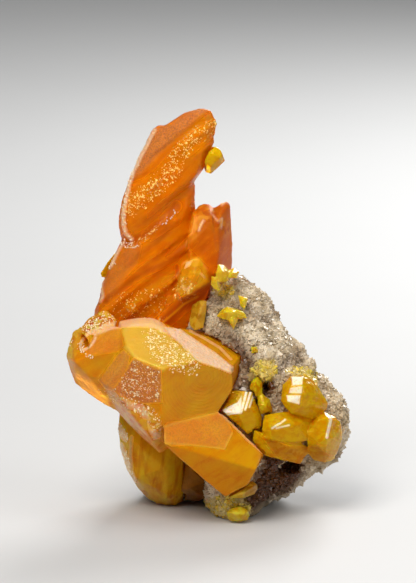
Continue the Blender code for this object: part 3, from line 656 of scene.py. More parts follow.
@dataclass(frozen=True)
class Stone:
    """Rock or its crust of little colourless crystals."""

    name: str
    slot: str
    pale: Colour
    grey: Colour
    brown_and_shade: Colour
    moss: Colour
    gloss: float
    tone_gloss: float = 0.25
    tone_share: float = 0.55
    lustre: float = 0.5
    milky: float = 0.25
    milk_reach: float = 0.3
    milk_spread: Triple = (1.0, 0.8, 0.55)
    patches: Cloud = Cloud(3.5, 0.38, 0.62, detail=4.0)
    brownings: Cloud = Cloud(0.3, 0.5, 0.75)
    browning: float = 0.5
    grit_wave: float = 0.12
    grit_relief: Relief = (0.04, 0.4)

    def material(self) -> bpy.types.Material:
        """Build the finish.

        Returns:
            The material.
        """
        tree = Tree(self.name)
        tone = tree.mark(Mask.TONE)
        body = tree.blend(tree.cloud(self.patches), self.grey, self.pale)
        body = tree.blend(tree.times(tone, self.tone_share), body, self.grey)
        # Brown places, and painted shade in hollows, the valley and pits.
        body = tree.blend(tree.mark(Mask.BROWN_AND_SHADE), body, self.brown_and_shade)
        body = tree.blend(tree.mark(Mask.MOSS), body, self.moss)
        tree.dress({
            "Base Color": tree.blend(tree.times(tree.cloud(self.brownings), self.browning), body, self.brown_and_shade),
            "Roughness": tree.level(tone, self.gloss, self.gloss + self.tone_gloss),
            "Specular IOR Level": self.lustre,
            "Subsurface Weight": self.milky,
            "Subsurface Radius": self.milk_spread,
            "Subsurface Scale": self.milk_reach * MM,
            "Normal": tree.bump(tree.clouds(self.grit_wave), *self.grit_relief),
        })
        return tree.material


@dataclass(frozen=True)
class Plain:
    """Matt, faintly uneven finish of the floor."""

    name: str
    colour: Colour
    roughness: float
    wave: float = 40.0
    darkest: float = 0.97

    def material(self) -> bpy.types.Material:
        """Build the finish.

        Returns:
            The material.
        """
        tree = Tree(self.name)
        dark = tuple(self.darkest * part for part in self.colour)
        body = tree.blend(tree.clouds(self.wave), self.colour, dark)
        tree.dress({"Base Color": body, "Roughness": self.roughness})
        return tree.material


ORANGE = Sulfur(
    "orange_sulfur", "orange_sulfur",
    body=srgb(234, 118, 0), light=srgb(250, 148, 0), deep_and_shade=srgb(186, 70, 0),
    frost_and_sheen=srgb(198, 118, 66), glow=srgb(255, 188, 16), speck=srgb(252, 212, 120),
    absorbed=(1.0, 0.8, 0.0), clear=0.5, milky=0.6, streak=0.25, sand=0.35, vein=0.6,
)
PALE_ORANGE = Sulfur(
    "pale_orange_sulfur", "pale_orange_sulfur",
    body=srgb(244, 148, 0), light=srgb(255, 188, 14), deep_and_shade=srgb(220, 100, 0),
    frost_and_sheen=srgb(202, 112, 66), glow=srgb(255, 214, 78), rim=srgb(240, 204, 170),
    speck=srgb(255, 238, 196), absorbed=(1.0, 0.86, 0.0), density=200.0,
    clear=0.5, milky=0.6, streak=0.3, sand=0.4, vein=0.6,
)
AMBER = Sulfur(
    "amber_sulfur", "amber_sulfur",
    body=srgb(255, 176, 4), light=srgb(255, 214, 40), deep_and_shade=srgb(210, 112, 0),
    frost_and_sheen=srgb(222, 180, 120), glow=srgb(234, 166, 10), absorbed=(1.0, 0.88, 0.0), density=180.0,
    milk_reach=2.0, streak_turn=84.0, streak=0.8,
)
# Brown crystal: a darker copy of the amber sulfur, its brown partly painted shade.
BROWN_AND_SHADE = Sulfur(
    "brown_sulfur", "brown_sulfur",
    body=srgb(170, 102, 8), light=srgb(196, 124, 14), deep_and_shade=srgb(110, 60, 4),
    frost_and_sheen=srgb(190, 160, 120), glow=srgb(170, 110, 30), absorbed=(1.0, 0.75, 0.05), density=400.0,
    clear=0.5, streak_turn=84.0,
)
YELLOW = Sulfur(
    "yellow_sulfur", "yellow_sulfur",
    body=srgb(252, 182, 0), light=srgb(255, 204, 0), deep_and_shade=srgb(214, 128, 0),
    frost_and_sheen=srgb(240, 200, 90), glow=srgb(255, 222, 30), rim=srgb(255, 250, 236),
    tint=srgb(255, 216, 120), absorbed=(1.0, 0.88, 0.0), density=200.0,
    clear=0.5, milk_reach=1.8, gloss=0.1, streak=0.35, streak_turn=10.0, shine=0.3, chip_size=0.6,
)
STRAW = Sulfur(
    "pale_yellow_sulfur", "pale_yellow_sulfur",
    body=srgb(252, 206, 10), light=srgb(255, 224, 50), deep_and_shade=srgb(214, 150, 0),
    frost_and_sheen=srgb(240, 226, 160), glow=srgb(255, 236, 80), rim=srgb(255, 248, 226),
    tint=srgb(255, 236, 170), absorbed=(1.0, 0.9, 0.05), density=180.0,
    clear=0.45, milky=0.7, gloss=0.12, streak=0.2, shine=0.45,
)
OCHRE = replace(
    STRAW, name="ochre_sulfur", body=srgb(198, 132, 0), light=srgb(220, 160, 6), deep_and_shade=srgb(160, 96, 0),
    gloss=0.3,
)
CRUMB = replace(
    STRAW, name="yellow_crumb", body=srgb(250, 192, 40), light=srgb(255, 222, 110), clear=0.2, milky=0.4,
    sand=0.6,
)
ROCK = Stone(
    "rock", "crusted_rock", pale=srgb(178, 160, 128), grey=srgb(140, 122, 92), brown_and_shade=srgb(66, 36, 8),
    moss=srgb(196, 160, 40), gloss=0.5,
)
CRUST = Stone(
    "crust", "crusted_rock", pale=srgb(230, 214, 188), grey=srgb(176, 156, 124), brown_and_shade=srgb(84, 44, 6),
    moss=srgb(228, 200, 80), gloss=0.2,
)
SUGAR = Stone(
    "sugar", "crusted_rock", pale=srgb(252, 240, 216), grey=srgb(236, 208, 166), brown_and_shade=srgb(214, 160, 96),
    moss=srgb(236, 208, 120), gloss=0.2,
)
FLOOR = Plain("floor", (0.56, 0.56, 0.555), 0.65)


# Meshes

def linked(name: str, data: object) -> bpy.types.Object:
    """Object of some data, linked to the scene.

    Args:
        name: Name of the object.
        data: Its mesh, light or camera.

    Returns:
        The object.
    """
    item = bpy.data.objects.new(name, data)
    bpy.context.scene.collection.objects.link(item)
    return item


def add_object(name: str, mesh: bmesh.types.BMesh) -> bpy.types.Object:
    """Scene object at the origin.

    Args:
        name: Name of the piece.
        mesh: Its mesh, which is freed.

    Returns:
        The object.
    """
    data = bpy.data.meshes.new(name)
    mesh.to_mesh(data)
    mesh.free()
    return linked(name, data)


def copy_of(node: str) -> bmesh.types.BMesh:
    """Merged copy of a CAD node's mesh.

    Args:
        node: Name of the node.

    Returns:
        The copy.
    """
    mesh = bmesh.new()
    mesh.from_mesh(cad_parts[node].data)
    bmesh.ops.remove_doubles(mesh, verts=mesh.verts, dist=MERGE_M)
    return mesh


def ease(mesh: bmesh.types.BMesh, corners: object, rounds: int) -> None:
    """Move corners half way towards their neighbours, round after round.

    Args:
        mesh: The mesh.
        corners: The corners that are moved.
        rounds: How often.
    """
    for _ in range(rounds):
        bmesh.ops.smooth_vert(mesh, verts=corners, factor=0.5, use_axis_x=True, use_axis_y=True,
                              use_axis_z=True)


def finely_meshed(node: str, name: str, cell: float, rounding: int) -> bpy.types.Object:
    """Copy of a CAD node with an even fine mesh and slightly rounded edges.

    Args:
        node: Name of the node.
        name: Name of the piece.
        cell: Width of a face.
        rounding: How often the corners are eased.

    Returns:
        The object.
    """
    piece = add_object(name, copy_of(node))
    remesh = piece.modifiers.new("remesh", "REMESH")
    remesh.mode = "VOXEL"
    remesh.voxel_size = cell * MM
    graph = bpy.context.evaluated_depsgraph_get()
    data = bpy.data.meshes.new_from_object(piece.evaluated_get(graph))
    piece.modifiers.clear()
    fine = bmesh.new()
    fine.from_mesh(data)
    ease(fine, fine.verts, rounding)
    fine.to_mesh(data)
    fine.free()
    data.polygons.foreach_set("use_smooth", [True] * len(data.polygons))
    piece.data = data
    piece.data.name = name
    return piece


def surface(data: bpy.types.Mesh) -> tuple[np.ndarray, np.ndarray]:
    """Points and normals of a mesh.

    Args:
        data: The mesh.

    Returns:
        The points in metres and their normals, one a row.
    """
    points = np.empty(3 * len(data.vertices), dtype=np.float32)
    normals = np.empty_like(points)
    data.vertices.foreach_get("co", points)
    data.vertices.foreach_get("normal", normals)
    return points.reshape(-1, 3).astype(float), normals.reshape(-1, 3).astype(float)


def settle(data: bpy.types.Mesh, points: np.ndarray) -> None:
    """Move a mesh's corners to the points, none of which stays below the ground."""
    points[:, 2] = np.maximum(points[:, 2], 0.0)
    data.vertices.foreach_set("co", points.ravel())


def write_marks(data: bpy.types.Mesh, marks: Marks) -> None:
    """Store marks on a mesh.

    Args:
        data: The mesh.
        marks: For each mark one value a vertex, or one a grain where the mesh is made of like grains.
    """
    for mask, values in marks.items():
        spread = np.repeat(np.clip(values, 0.0, 1.0), len(data.vertices) // len(values))
        attribute = data.attributes.new(mask.value, "FLOAT", "POINT")
        attribute.data.foreach_set("value", spread.astype(np.float32))


def dress_piece(piece: bpy.types.Object, material: bpy.types.Material,
                node: str | None = None) -> None:
    """Dress a piece, join it to the body and report it.

    Args:
        piece: The piece.
        material: The material made from the finish.
        node: CAD node that the piece replaces, if any.
    """
    piece.data.update()
    piece.data.materials.append(material)
    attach(piece, "root")
    if node is not None:
        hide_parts(node)
    LOG.info("%s: %d faces", piece.name, len(piece.data.polygons))


# Marks of the crystals and the rock

# Bright block in front of the tall crystal, without the corners on its left.
BLOCK: Path = (
    (-4.2, 42.5), (-3.0, 44.2), (-1.2, 44.2), (0.0, 41.3), (0.3, 40.2), (-1.2, 39.3), (-3.0, 38.2),
    (-4.3, 37.7),
)
BLADE_MARKS: tuple[Mark, ...] = (
    Patch(Mask.FROST_AND_SHEEN, (
        (-8.0, 66.2), (-6.3, 66.5), (-4.0, 68.2), (-1.3, 69.3), (0.2, 69.0), (-2.5, 66.8), (-6.0, 63.5),
        (-8.0, 61.8), (-11.2, 58.3), (-13.0, 57.2), (-11.7, 60.5), (-9.2, 65.5),
    ), 1.0, 0.5),
    Patch(Mask.FROST_AND_SHEEN, (
        (-16.8, 37.5), (-17.5, 39.8), (-16.7, 41.8), (-15.0, 44.2), (-13.7, 46.0), (-11.3, 46.2),
        (-12.0, 43.3), (-14.0, 41.0), (-15.8, 38.5),
    ), 0.55, 0.6),
    # Painted glow near the top of the blade.
    Patch(Mask.GLOW, (
        (-3.7, 65.7), (-1.3, 68.3), (0.7, 68.5), (1.2, 66.8), (1.2, 64.7), (0.2, 62.5), (-1.3, 60.0),
        (-3.0, 59.3), (-4.3, 60.5), (-5.0, 63.0),
    ), 0.22, 1.0),
    # Painted shade on the right lobe.
    Patch(Mask.DEEP_AND_SHADE, (
        (-2.5, 46.0), (-1.5, 52.5), (1.0, 53.8), (3.0, 53.8), (4.3, 50.0), (4.0, 42.5), (0.5, 43.0),
    ), 0.6, 1.0),
    Stroke(Mask.RIM_AND_HIGHLIGHT, (
        (-8.9, 65.5), (-9.8, 63.8), (-11.1, 61.3), (-12.4, 58.7), (-13.1, 56.5), (-13.7, 53.8),
        (-14.1, 51.7), (-14.1, 49.8), (-13.7, 48.2), (-12.7, 47.3),
    ), 0.6, 0.9, 0.15),
    Stroke(Mask.SUGAR, (
        (-11.1, 61.3), (-12.4, 58.7), (-13.1, 56.5), (-14.1, 51.7), (-13.7, 48.2), (-12.7, 47.3),
    ), 0.5, 0.5),
    Stroke(Mask.SUGAR, ((-14.3, 46.7), (-12.8, 46.2), (-11.3, 45.7)), 0.9, 0.4),
    Stroke(Mask.SUGAR, ((-8.0, 49.6), (-6.6, 50.8), (-5.4, 51.9)), 0.5, 0.5),
    Stroke(Mask.SUGAR, ((-15.5, 43.7), (-16.3, 42.6)), 0.7, 0.4),
    Stroke(Mask.SUGAR, ((-18.2, 38.2), (-18.8, 37.0)), 0.6, 0.4),
    # Painted glints on the lobes.
    Stroke(Mask.RIM_AND_HIGHLIGHT, ((-1.5, 48.8), (-1.2, 49.7), (-0.8, 50.3)), 0.4, 0.9, 0.15),
    Stroke(Mask.RIM_AND_HIGHLIGHT, ((0.8, 51.3), (1.7, 50.2), (2.3, 50.8), (2.2, 49.2)), 0.25, 0.8, 0.15),
    Stroke(Mask.RIM_AND_HIGHLIGHT, ((-14.0, 46.8), (-14.7, 45.7), (-15.3, 44.7), (-16.2, 42.7)), 0.45, 0.9, 0.15),
    Stroke(Mask.RIM_AND_HIGHLIGHT, ((-17.5, 41.0), (-17.7, 39.0), (-17.5, 37.8), (-18.0, 37.0)), 0.45, 0.9, 0.15),
    Stroke(Mask.SPECK, (
        (-5.7, 60.3), (-4.3, 62.0), (-3.0, 63.5), (-1.3, 65.0), (0.8, 66.5),
    ), 2.2, 0.8, 0.8),
    Stroke(Mask.SPECK, (
        (-13.5, 52.3), (-12.2, 53.3), (-10.2, 55.2), (-8.3, 56.5), (-6.7, 57.8), (-5.8, 58.7),
    ), 2.6, 0.9, 0.8),
    Patch(Mask.SPECK, (
        (-16.5, 35.0), (-15.5, 38.0), (-12.0, 38.5), (-8.0, 39.5), (-6.5, 37.0), (-8.0, 33.5),
    ), 0.3, 1.0),
    Stroke(Mask.SPECK, ((-13.5, 46.0), (-11.8, 46.5), (-9.7, 48.0), (-8.0, 50.0)), 0.7, 0.6, 0.3),
    # Painted shade in the grooves between the ridges.
    Stroke(Mask.DEEP_AND_SHADE, (
        (-14.3, 46.7), (-12.3, 47.0), (-9.7, 48.5), (-7.5, 50.3), (-5.3, 52.8),
    ), 1.4, 0.8, 0.5),
    Stroke(Mask.DEEP_AND_SHADE, (
        (-17.0, 37.0), (-14.0, 39.5), (-11.2, 41.5), (-8.3, 42.8), (-5.7, 44.2), (-3.0, 47.2),
    ), 1.0, 0.6, 0.5),
    # Painted shade below the block, and painted glow beside it and on it.
    Stroke(Mask.DEEP_AND_SHADE, ((-7.0, 33.8), (-4.3, 36.2), (-1.7, 38.0), (0.5, 39.8)), 2.0, 0.9, 0.6),
    Stroke(Mask.GLOW, ((-13.3, 36.0), (-11.0, 37.8), (-8.3, 39.7), (-6.3, 41.0)), 1.2, 0.45, 0.6),
    Patch(Mask.GLOW, BLOCK + ((-5.5, 38.5), (-5.0, 40.3)), 1.0, 0.4),
    Patch(Mask.CHIP, BLOCK + ((-6.5, 38.0), (-6.5, 40.3)), 0.35, 0.6),
    Stroke(Mask.CHIP, ((-12.0, 35.0), (-9.0, 37.0), (-6.5, 38.0)), 2.5, 0.35, 1.2),
    Stroke(Mask.CHIP, ((-1.5, 52.0), (1.0, 50.5), (2.5, 49.0)), 2.5, 0.4, 1.0),
    Stroke(Mask.CHIP, ((-3.0, 47.5), (-1.5, 52.0), (-1.5, 56.0)), 2.0, 0.25, 1.0),
    # Painted glow and glints on the block, and painted shade round its edges.
    Stroke(Mask.GLOW, ((-3.7, 42.5), (-3.5, 43.3), (-3.0, 43.7)), 0.6, 1.0, 0.3),
    Patch(Mask.RIM_AND_HIGHLIGHT, ((-3.9, 42.4), (-3.6, 43.5), (-2.7, 43.7), (-3.1, 42.8)), 0.7, 0.15),
    Stroke(Mask.SPECK, ((-4.8, 39.2), (-4.0, 40.2), (-3.0, 39.4)), 1.4, 0.8, 0.4),
    Stroke(Mask.RIM_AND_HIGHLIGHT, ((-1.2, 41.6), (-0.5, 40.8)), 0.25, 0.6, 0.12),
    Stroke(Mask.RIM_AND_HIGHLIGHT, ((-4.4, 39.4), (-3.6, 38.9), (-3.1, 39.3)), 0.25, 0.6, 0.12),
    Stroke(Mask.DEEP_AND_SHADE, (
        (-5.2, 42.8), (-4.9, 41.0), (-4.2, 40.0), (-2.4, 40.2), (-1.6, 42.0),
    ), 0.5, 0.8, 0.25),
    Stroke(Mask.DEEP_AND_SHADE, ((0.6, 41.5), (0.7, 40.0), (-1.2, 38.8), (-3.2, 37.4)), 0.6, 0.8, 0.25),
    Stroke(Mask.SPECK, ((-5.3, 38.2), (-4.3, 37.8), (-3.0, 38.5)), 1.4, 0.7, 0.5),
    Stroke(Mask.GLOW, ((-7.7, 33.3), (-6.0, 34.7), (-4.0, 36.5), (-1.7, 37.7)), 0.25, 0.9, 0.15),
    # Painted glint at the top of the right lobe.
    Stroke(Mask.RIM_AND_HIGHLIGHT, ((2.3, 53.2), (3.0, 53.7), (3.5, 53.5)), 0.6, 0.8, 0.2),
)
# Outline of the blade's ridged face, clear of its rim, its lobes and the block in front.
BLADE_FACE: Path = (
    (-17.0, 34.0), (-16.0, 41.0), (-13.0, 46.5), (-12.5, 50.0), (-12.8, 55.0), (-9.0, 60.0), (-4.0, 63.0),
    (-2.0, 60.0), (-2.5, 54.0), (-3.6, 48.0), (-5.0, 43.5), (-6.8, 38.5), (-2.5, 36.5), (-1.5, 34.0),
    (-6.0, 31.0),
)

# Glassy lump on the front crystal's left lobe, without its lower corners.
LUMP: Path = (
    (-21.3, 31.8), (-20.0, 33.5), (-18.5, 35.0), (-17.2, 35.3), (-16.0, 34.5), (-15.3, 33.5),
)
# Middle of the ring-shaped hollow beside the lump, and the degrees by which it climbs.
HOLLOW: FrontPoint = (-20.0, 30.3)
HOLLOW_TURN = 51.0
# Large facet with the growth contours, and the steep slope to its lower left.
BIG_FACET: Path = (
    (-7.7, 25.5), (-1.3, 26.8), (4.0, 25.2), (4.3, 22.5), (1.7, 18.5), (-3.0, 17.2), (-7.2, 17.2),
)
SLOPE: Path = (
    (-18.0, 22.0), (-14.0, 21.2), (-10.8, 20.2), (-8.2, 18.2), (-7.7, 15.8), (-8.7, 14.2), (-10.3, 17.5),
    (-15.7, 20.2),
)
FRONT_MARKS: tuple[Mark, ...] = (
    # Painted glow on the yellow upper facet and along its lower edge.
    Patch(Mask.GLOW, (
        (-14.5, 32.7), (-12.2, 33.5), (-9.3, 33.8), (-8.0, 33.0), (-6.0, 30.8), (-3.0, 28.8),
        (-1.8, 27.2), (-4.7, 26.2), (-7.5, 25.8), (-10.0, 26.5), (-12.2, 27.7), (-13.7, 29.7),
    ), 0.75, 0.3),
    Stroke(Mask.GLOW, (
        (-13.5, 29.3), (-12.5, 28.3), (-11.3, 27.5), (-9.2, 26.5), (-7.5, 25.8),
    ), 0.9, 1.0, 0.4),
    Patch(Mask.SPECK, (
        (-10.5, 32.2), (-8.0, 32.0), (-6.0, 30.3), (-3.3, 28.5), (-1.3, 26.5), (-2.0, 24.8), (-4.7, 25.5),
        (-8.0, 26.5), (-10.0, 28.5),
    ), 0.8, 0.8),
    Patch(Mask.RIM_AND_HIGHLIGHT, (
        (-19.3, 32.0), (-17.2, 32.7), (-14.8, 33.4), (-13.0, 34.0), (-9.3, 34.4), (-7.5, 33.0),
        (-6.0, 31.8), (-5.3, 30.8), (-7.2, 31.7), (-8.8, 32.5), (-11.3, 32.7), (-14.3, 32.6),
        (-16.3, 32.1), (-18.3, 31.4),
    ), 0.65, 0.15),
    Patch(Mask.FROST_AND_SHEEN, (
        (-12.3, 27.5), (-10.0, 26.3), (-7.8, 25.5), (-7.7, 20.2), (-10.0, 20.0), (-13.0, 20.5),
        (-15.3, 21.8), (-15.8, 22.3), (-14.3, 24.2), (-13.2, 26.2),
    ), 1.0, 0.25),
    Patch(Mask.SPECK, (
        (-12.3, 27.0), (-10.0, 26.0), (-8.0, 25.2), (-8.0, 20.5), (-13.0, 20.8), (-15.3, 22.3),
    ), 0.5, 0.6),
    Patch(Mask.FROST_AND_SHEEN, (
        (-14.0, 28.8), (-13.0, 27.8), (-13.3, 26.3), (-14.3, 24.2), (-16.0, 22.2), (-17.2, 22.5),
        (-18.2, 23.8), (-16.3, 26.3), (-14.8, 28.3),
    ), 0.75, 0.2),
    Patch(Mask.FROST_AND_SHEEN, (
        (-18.8, 31.3), (-16.3, 32.3), (-14.7, 32.7), (-14.2, 29.7), (-15.0, 28.7), (-18.0, 28.2),
        (-20.3, 27.8), (-19.7, 29.8),
    ), 0.5, 0.4),
    # Painted shade on the left lobe, and painted glow along its left edge.
    Patch(Mask.DEEP_AND_SHADE, (
        (-20.5, 27.5), (-18.0, 27.8), (-15.2, 28.2), (-16.7, 26.2), (-18.2, 24.2), (-19.7, 24.2),
        (-21.8, 26.5),
    ), 0.5, 0.5),
    Stroke(Mask.GLOW, ((-23.2, 28.5), (-23.0, 30.2), (-22.5, 31.8), (-21.3, 33.3)), 1.8, 0.8, 0.8),
    Stroke(Mask.RIM_AND_HIGHLIGHT, (
        (-19.3, 31.8), (-17.3, 32.8), (-14.8, 33.3), (-12.2, 33.8), (-9.3, 34.0), (-8.0, 33.2),
        (-6.7, 32.0), (-5.7, 31.0),
    ), 0.6, 0.7, 0.25),
    # Painted reflection on the long pale facet, and painted highlight lines on its edges.
    Patch(Mask.RIM_AND_HIGHLIGHT, (
        (-7.3, 32.7), (-4.7, 32.3), (-2.3, 30.7), (1.0, 28.5), (4.2, 26.0), (4.2, 25.3), (3.7, 25.0),
        (1.7, 25.8), (-1.2, 26.8), (-2.0, 27.3), (-4.0, 29.3), (-6.2, 31.2),
    ), 1.0, 0.15),
    Stroke(Mask.RIM_AND_HIGHLIGHT, ((-3.0, 32.0), (-0.5, 30.7), (2.0, 29.2), (3.8, 27.3)), 0.3, 0.6, 0.15),
    Stroke(Mask.RIM_AND_HIGHLIGHT, ((-3.0, 32.0), (-0.8, 32.0), (2.3, 30.3), (5.8, 28.5)), 0.3, 0.6, 0.15),
    Patch(Mask.RIM_AND_HIGHLIGHT, (
        (-14.3, 20.7), (-12.5, 20.0), (-10.8, 19.7), (-10.0, 18.5), (-9.7, 17.2), (-10.7, 17.5),
        (-11.7, 18.8), (-13.3, 19.2),
    ), 0.55, 0.25),
    Patch(Mask.RIM_AND_HIGHLIGHT, (
        (-10.0, 16.8), (-9.7, 15.7), (-8.0, 15.0), (-8.0, 14.3), (-9.0, 14.0), (-9.8, 15.5),
    ), 0.7, 0.2),
    Patch(Mask.CHIP, (
        (-18.5, 22.3), (-13.8, 21.0), (-10.0, 20.0), (-7.6, 16.0), (-6.6, 13.0), (-8.5, 11.5),
        (-13.0, 15.5), (-17.5, 19.8),
    ), 0.55, 0.6),
    # Painted shade on the steep slope and the strip below it.
    Patch(Mask.DEEP_AND_SHADE, SLOPE, 0.7, 0.6),
    Patch(Mask.SPECK, SLOPE, 0.5, 0.6),
    Patch(Mask.DEEP_AND_SHADE, (
        (-19.7, 22.8), (-18.0, 21.7), (-15.7, 20.0), (-13.0, 18.2), (-10.5, 16.5), (-9.7, 14.3),
        (-11.3, 15.5), (-14.7, 18.5), (-18.0, 20.8),
    ), 1.0, 0.4),
    Patch(Mask.FROST_AND_SHEEN, (
        (-7.5, 15.8), (-6.7, 16.7), (-3.8, 17.0), (-0.5, 17.8), (1.8, 18.3), (3.2, 17.0), (4.0, 15.2),
        (2.7, 12.5), (-0.5, 13.0), (-3.0, 13.2), (-6.0, 13.0), (-7.5, 13.7),
    ), 0.6, 0.35),
    # Painted shade on the lower prism, a painted highlight along its edge, and painted glow along edges.
    Patch(Mask.DEEP_AND_SHADE, (
        (-6.0, 12.8), (2.7, 12.3), (4.0, 15.0), (9.2, 11.5), (8.5, 9.5), (7.0, 6.5), (2.5, 4.5),
        (-3.0, 9.0),
    ), 0.45, 0.4),
    Stroke(Mask.RIM_AND_HIGHLIGHT, ((1.8, 18.5), (4.0, 16.5), (6.7, 13.8), (9.2, 11.7)), 0.3, 0.6, 0.15),
    Stroke(Mask.GLOW, ((-7.4, 13.5), (-3.0, 13.1), (2.7, 12.4), (4.0, 15.0)), 0.3, 0.6, 0.15),
    Stroke(Mask.GLOW, ((-7.6, 16.0), (-3.8, 17.1), (1.7, 18.5)), 0.35, 0.5, 0.2),
    Stroke(Mask.GLOW, ((-17.2, 22.5), (-14.3, 26.5), (-13.5, 29.0)), 0.35, 0.6, 0.2),
    Patch(Mask.CHIP, LUMP + ((-17.3, 32.8), (-19.3, 31.8)), 1.0, 0.4),
    Stroke(Mask.CHIP, ((-23.0, 28.0), (-22.8, 31.0), (-21.5, 32.5)), 1.6, 0.6, 0.6),
    # Pale rim round the ring-shaped hollow, and painted shade inside it.
    Stroke(Mask.RIM_AND_HIGHLIGHT, oval(HOLLOW, 1.7, 0.85, HOLLOW_TURN), 0.35, 0.9, 0.15),
    Patch(Mask.DEEP_AND_SHADE, oval(HOLLOW, 1.5, 0.65, HOLLOW_TURN), 0.6, 0.2),
    Patch(Mask.SUGAR, LUMP + ((-17.3, 32.7), (-19.7, 31.8)), 0.5, 0.3),
    Stroke(Mask.SUGAR, ((-21.3, 29.7), (-20.8, 28.5), (-19.7, 27.8)), 1.0, 0.5),
    Stroke(Mask.SUGAR, ((-23.3, 32.2), (-22.9, 30.0)), 1.2, 0.3),
    Stroke(Mask.SUGAR, ((-14.0, 20.3), (-10.8, 18.8), (-9.2, 16.0), (-9.0, 14.5)), 0.7, 0.1),
    # Painted glow on the large facet.
    Patch(Mask.GLOW, BIG_FACET, 0.2, 0.6),
    Patch(Mask.RINGS, BIG_FACET + ((-8.3, 19.7),), 0.8, 0.4),
)

# Crusted edges of the base crystal, with the widths of their crust and of the sugar on it.
BASE_EDGES: tuple[tuple[Path, float, float], ...] = (
    (((-15.0, 16.0), (-14.5, 15.2), (-14.0, 14.2)), 0.9, 1.1),
    (((-14.5, 12.7), (-14.0, 11.2), (-13.3, 9.0)), 0.8, 0.9),
    (((-13.0, 8.3), (-12.5, 7.2)), 0.8, 0.8),
)
BASE_MARKS: tuple[Mark, ...] = (
    Stroke(Mask.FROST_AND_SHEEN, ((-12.8, 14.2), (-13.0, 11.3), (-12.8, 8.8)), 0.5, 0.8, 0.2),
    *(Stroke(Mask.RIM_AND_HIGHLIGHT, edge, crust) for edge, crust, _ in BASE_EDGES),
    *(Stroke(Mask.SUGAR, edge, sugar) for edge, _, sugar in BASE_EDGES),
)

# Painted highlights on the saddle crystal's stepped facet.
SADDLE_MARKS: tuple[Mark, ...] = (
    Patch(Mask.RIM_AND_HIGHLIGHT, ((2.3, 18.8), (4.9, 20.1), (5.6, 21.2), (5.5, 18.2), (3.3, 18.0)), 0.9, 0.12),
    Stroke(Mask.RIM_AND_HIGHLIGHT, ((5.5, 18.4), (6.4, 21.9)), 0.4, 0.9, 0.12),
    Stroke(Mask.RIM_AND_HIGHLIGHT, ((6.2, 18.9), (7.2, 22.1)), 0.35, 0.9, 0.12),
    Stroke(Mask.RIM_AND_HIGHLIGHT, ((6.9, 19.3), (8.0, 22.2)), 0.3, 0.8, 0.12),
)

CLUSTER_MARKS: tuple[Mark, ...] = (
    # Painted reflections on the top crystal's front facet.
    Patch(Mask.RIM_AND_HIGHLIGHT, ((13.9, 24.4), (15.8, 24.4), (15.7, 23.1), (14.1, 22.9)), 0.9, 0.12),
    Patch(Mask.RIM_AND_HIGHLIGHT, ((13.7, 22.5), (15.7, 22.8), (15.6, 21.6), (13.5, 21.7)), 0.75, 0.12),
    Patch(Mask.RIM_AND_HIGHLIGHT, ((13.1, 21.3), (15.4, 21.3), (15.2, 19.8), (13.2, 20.3)), 0.9, 0.12),
    # Painted shade on the lower crystal, and painted highlight lines.
    Patch(Mask.DEEP_AND_SHADE, (
        (9.0, 14.3), (13.7, 12.9), (18.3, 12.8), (20.3, 11.3), (19.0, 9.0), (15.3, 9.4), (11.2, 11.4),
    ), 1.0, 0.3),
    Stroke(Mask.RIM_AND_HIGHLIGHT, ((20.5, 17.5), (20.2, 16.0), (19.8, 14.3)), 0.5, 0.8, 0.15),
    Stroke(Mask.RIM_AND_HIGHLIGHT, ((10.7, 15.8), (12.0, 16.6), (12.8, 17.2)), 0.35, 0.8, 0.15),
    Stroke(Mask.RIM_AND_HIGHLIGHT, ((11.4, 15.8), (12.6, 16.1), (13.5, 16.3)), 0.3, 0.7, 0.15),
)

ROCK_MARKS: tuple[Mark, ...] = (
    # Painted shade in two pits and the valley; the low patch is brown rock, partly painted shade.
    Patch(Mask.BROWN_AND_SHADE, ((9.2, 24.2), (10.9, 24.4), (11.4, 22.5), (10.3, 21.0), (9.1, 21.4)), 1.0, 0.3),
    Patch(Mask.BROWN_AND_SHADE, ((11.7, 10.7), (15.0, 10.9), (16.5, 9.4), (14.5, 8.2), (11.7, 8.4)), 1.0, 0.3),
    Patch(Mask.BROWN_AND_SHADE, (
        (3.0, 32.2), (5.3, 30.8), (7.3, 27.8), (9.0, 24.2), (9.0, 20.5), (6.7, 20.8), (6.0, 25.2),
        (4.0, 28.8),
    ), 0.85, 1.0),
    Patch(Mask.BROWN_AND_SHADE, (
        (7.8, 11.8), (11.2, 11.2), (14.7, 10.2), (16.2, 8.2), (13.7, 5.5), (10.7, 4.2), (7.8, 1.8),
        (4.7, 3.0), (7.0, 6.3), (9.0, 10.2),
    ), 1.0, 0.8),
    Patch(Mask.MOSS, (
        (8.3, 27.2), (10.7, 27.5), (11.3, 25.2), (10.0, 23.2), (8.0, 23.2), (7.0, 24.5),
    ), 0.7, 0.6),
    Patch(Mask.MOSS, ((13.0, 25.2), (15.3, 25.8), (17.3, 25.5), (18.3, 23.8), (18.0, 21.8)), 0.6, 0.6),
    Patch(Mask.MOSS, ((1.0, 40.5), (2.7, 40.7), (4.3, 38.8), (3.3, 37.2), (1.3, 37.8)), 0.6, 0.6),
    Patch(Mask.MOSS, ((-0.5, 3.8), (2.3, 4.5), (6.0, 3.8), (7.0, 1.8), (4.0, 0.2), (0.7, 1.2)), 0.5, 0.6),
)


# Crystals

CRYSTAL_MASKS = (Mask.FROST_AND_SHEEN, Mask.GLOW, Mask.DEEP_AND_SHADE, Mask.RIM_AND_HIGHLIGHT, Mask.SPECK, Mask.RINGS, Mask.SUGAR, Mask.CHIP)


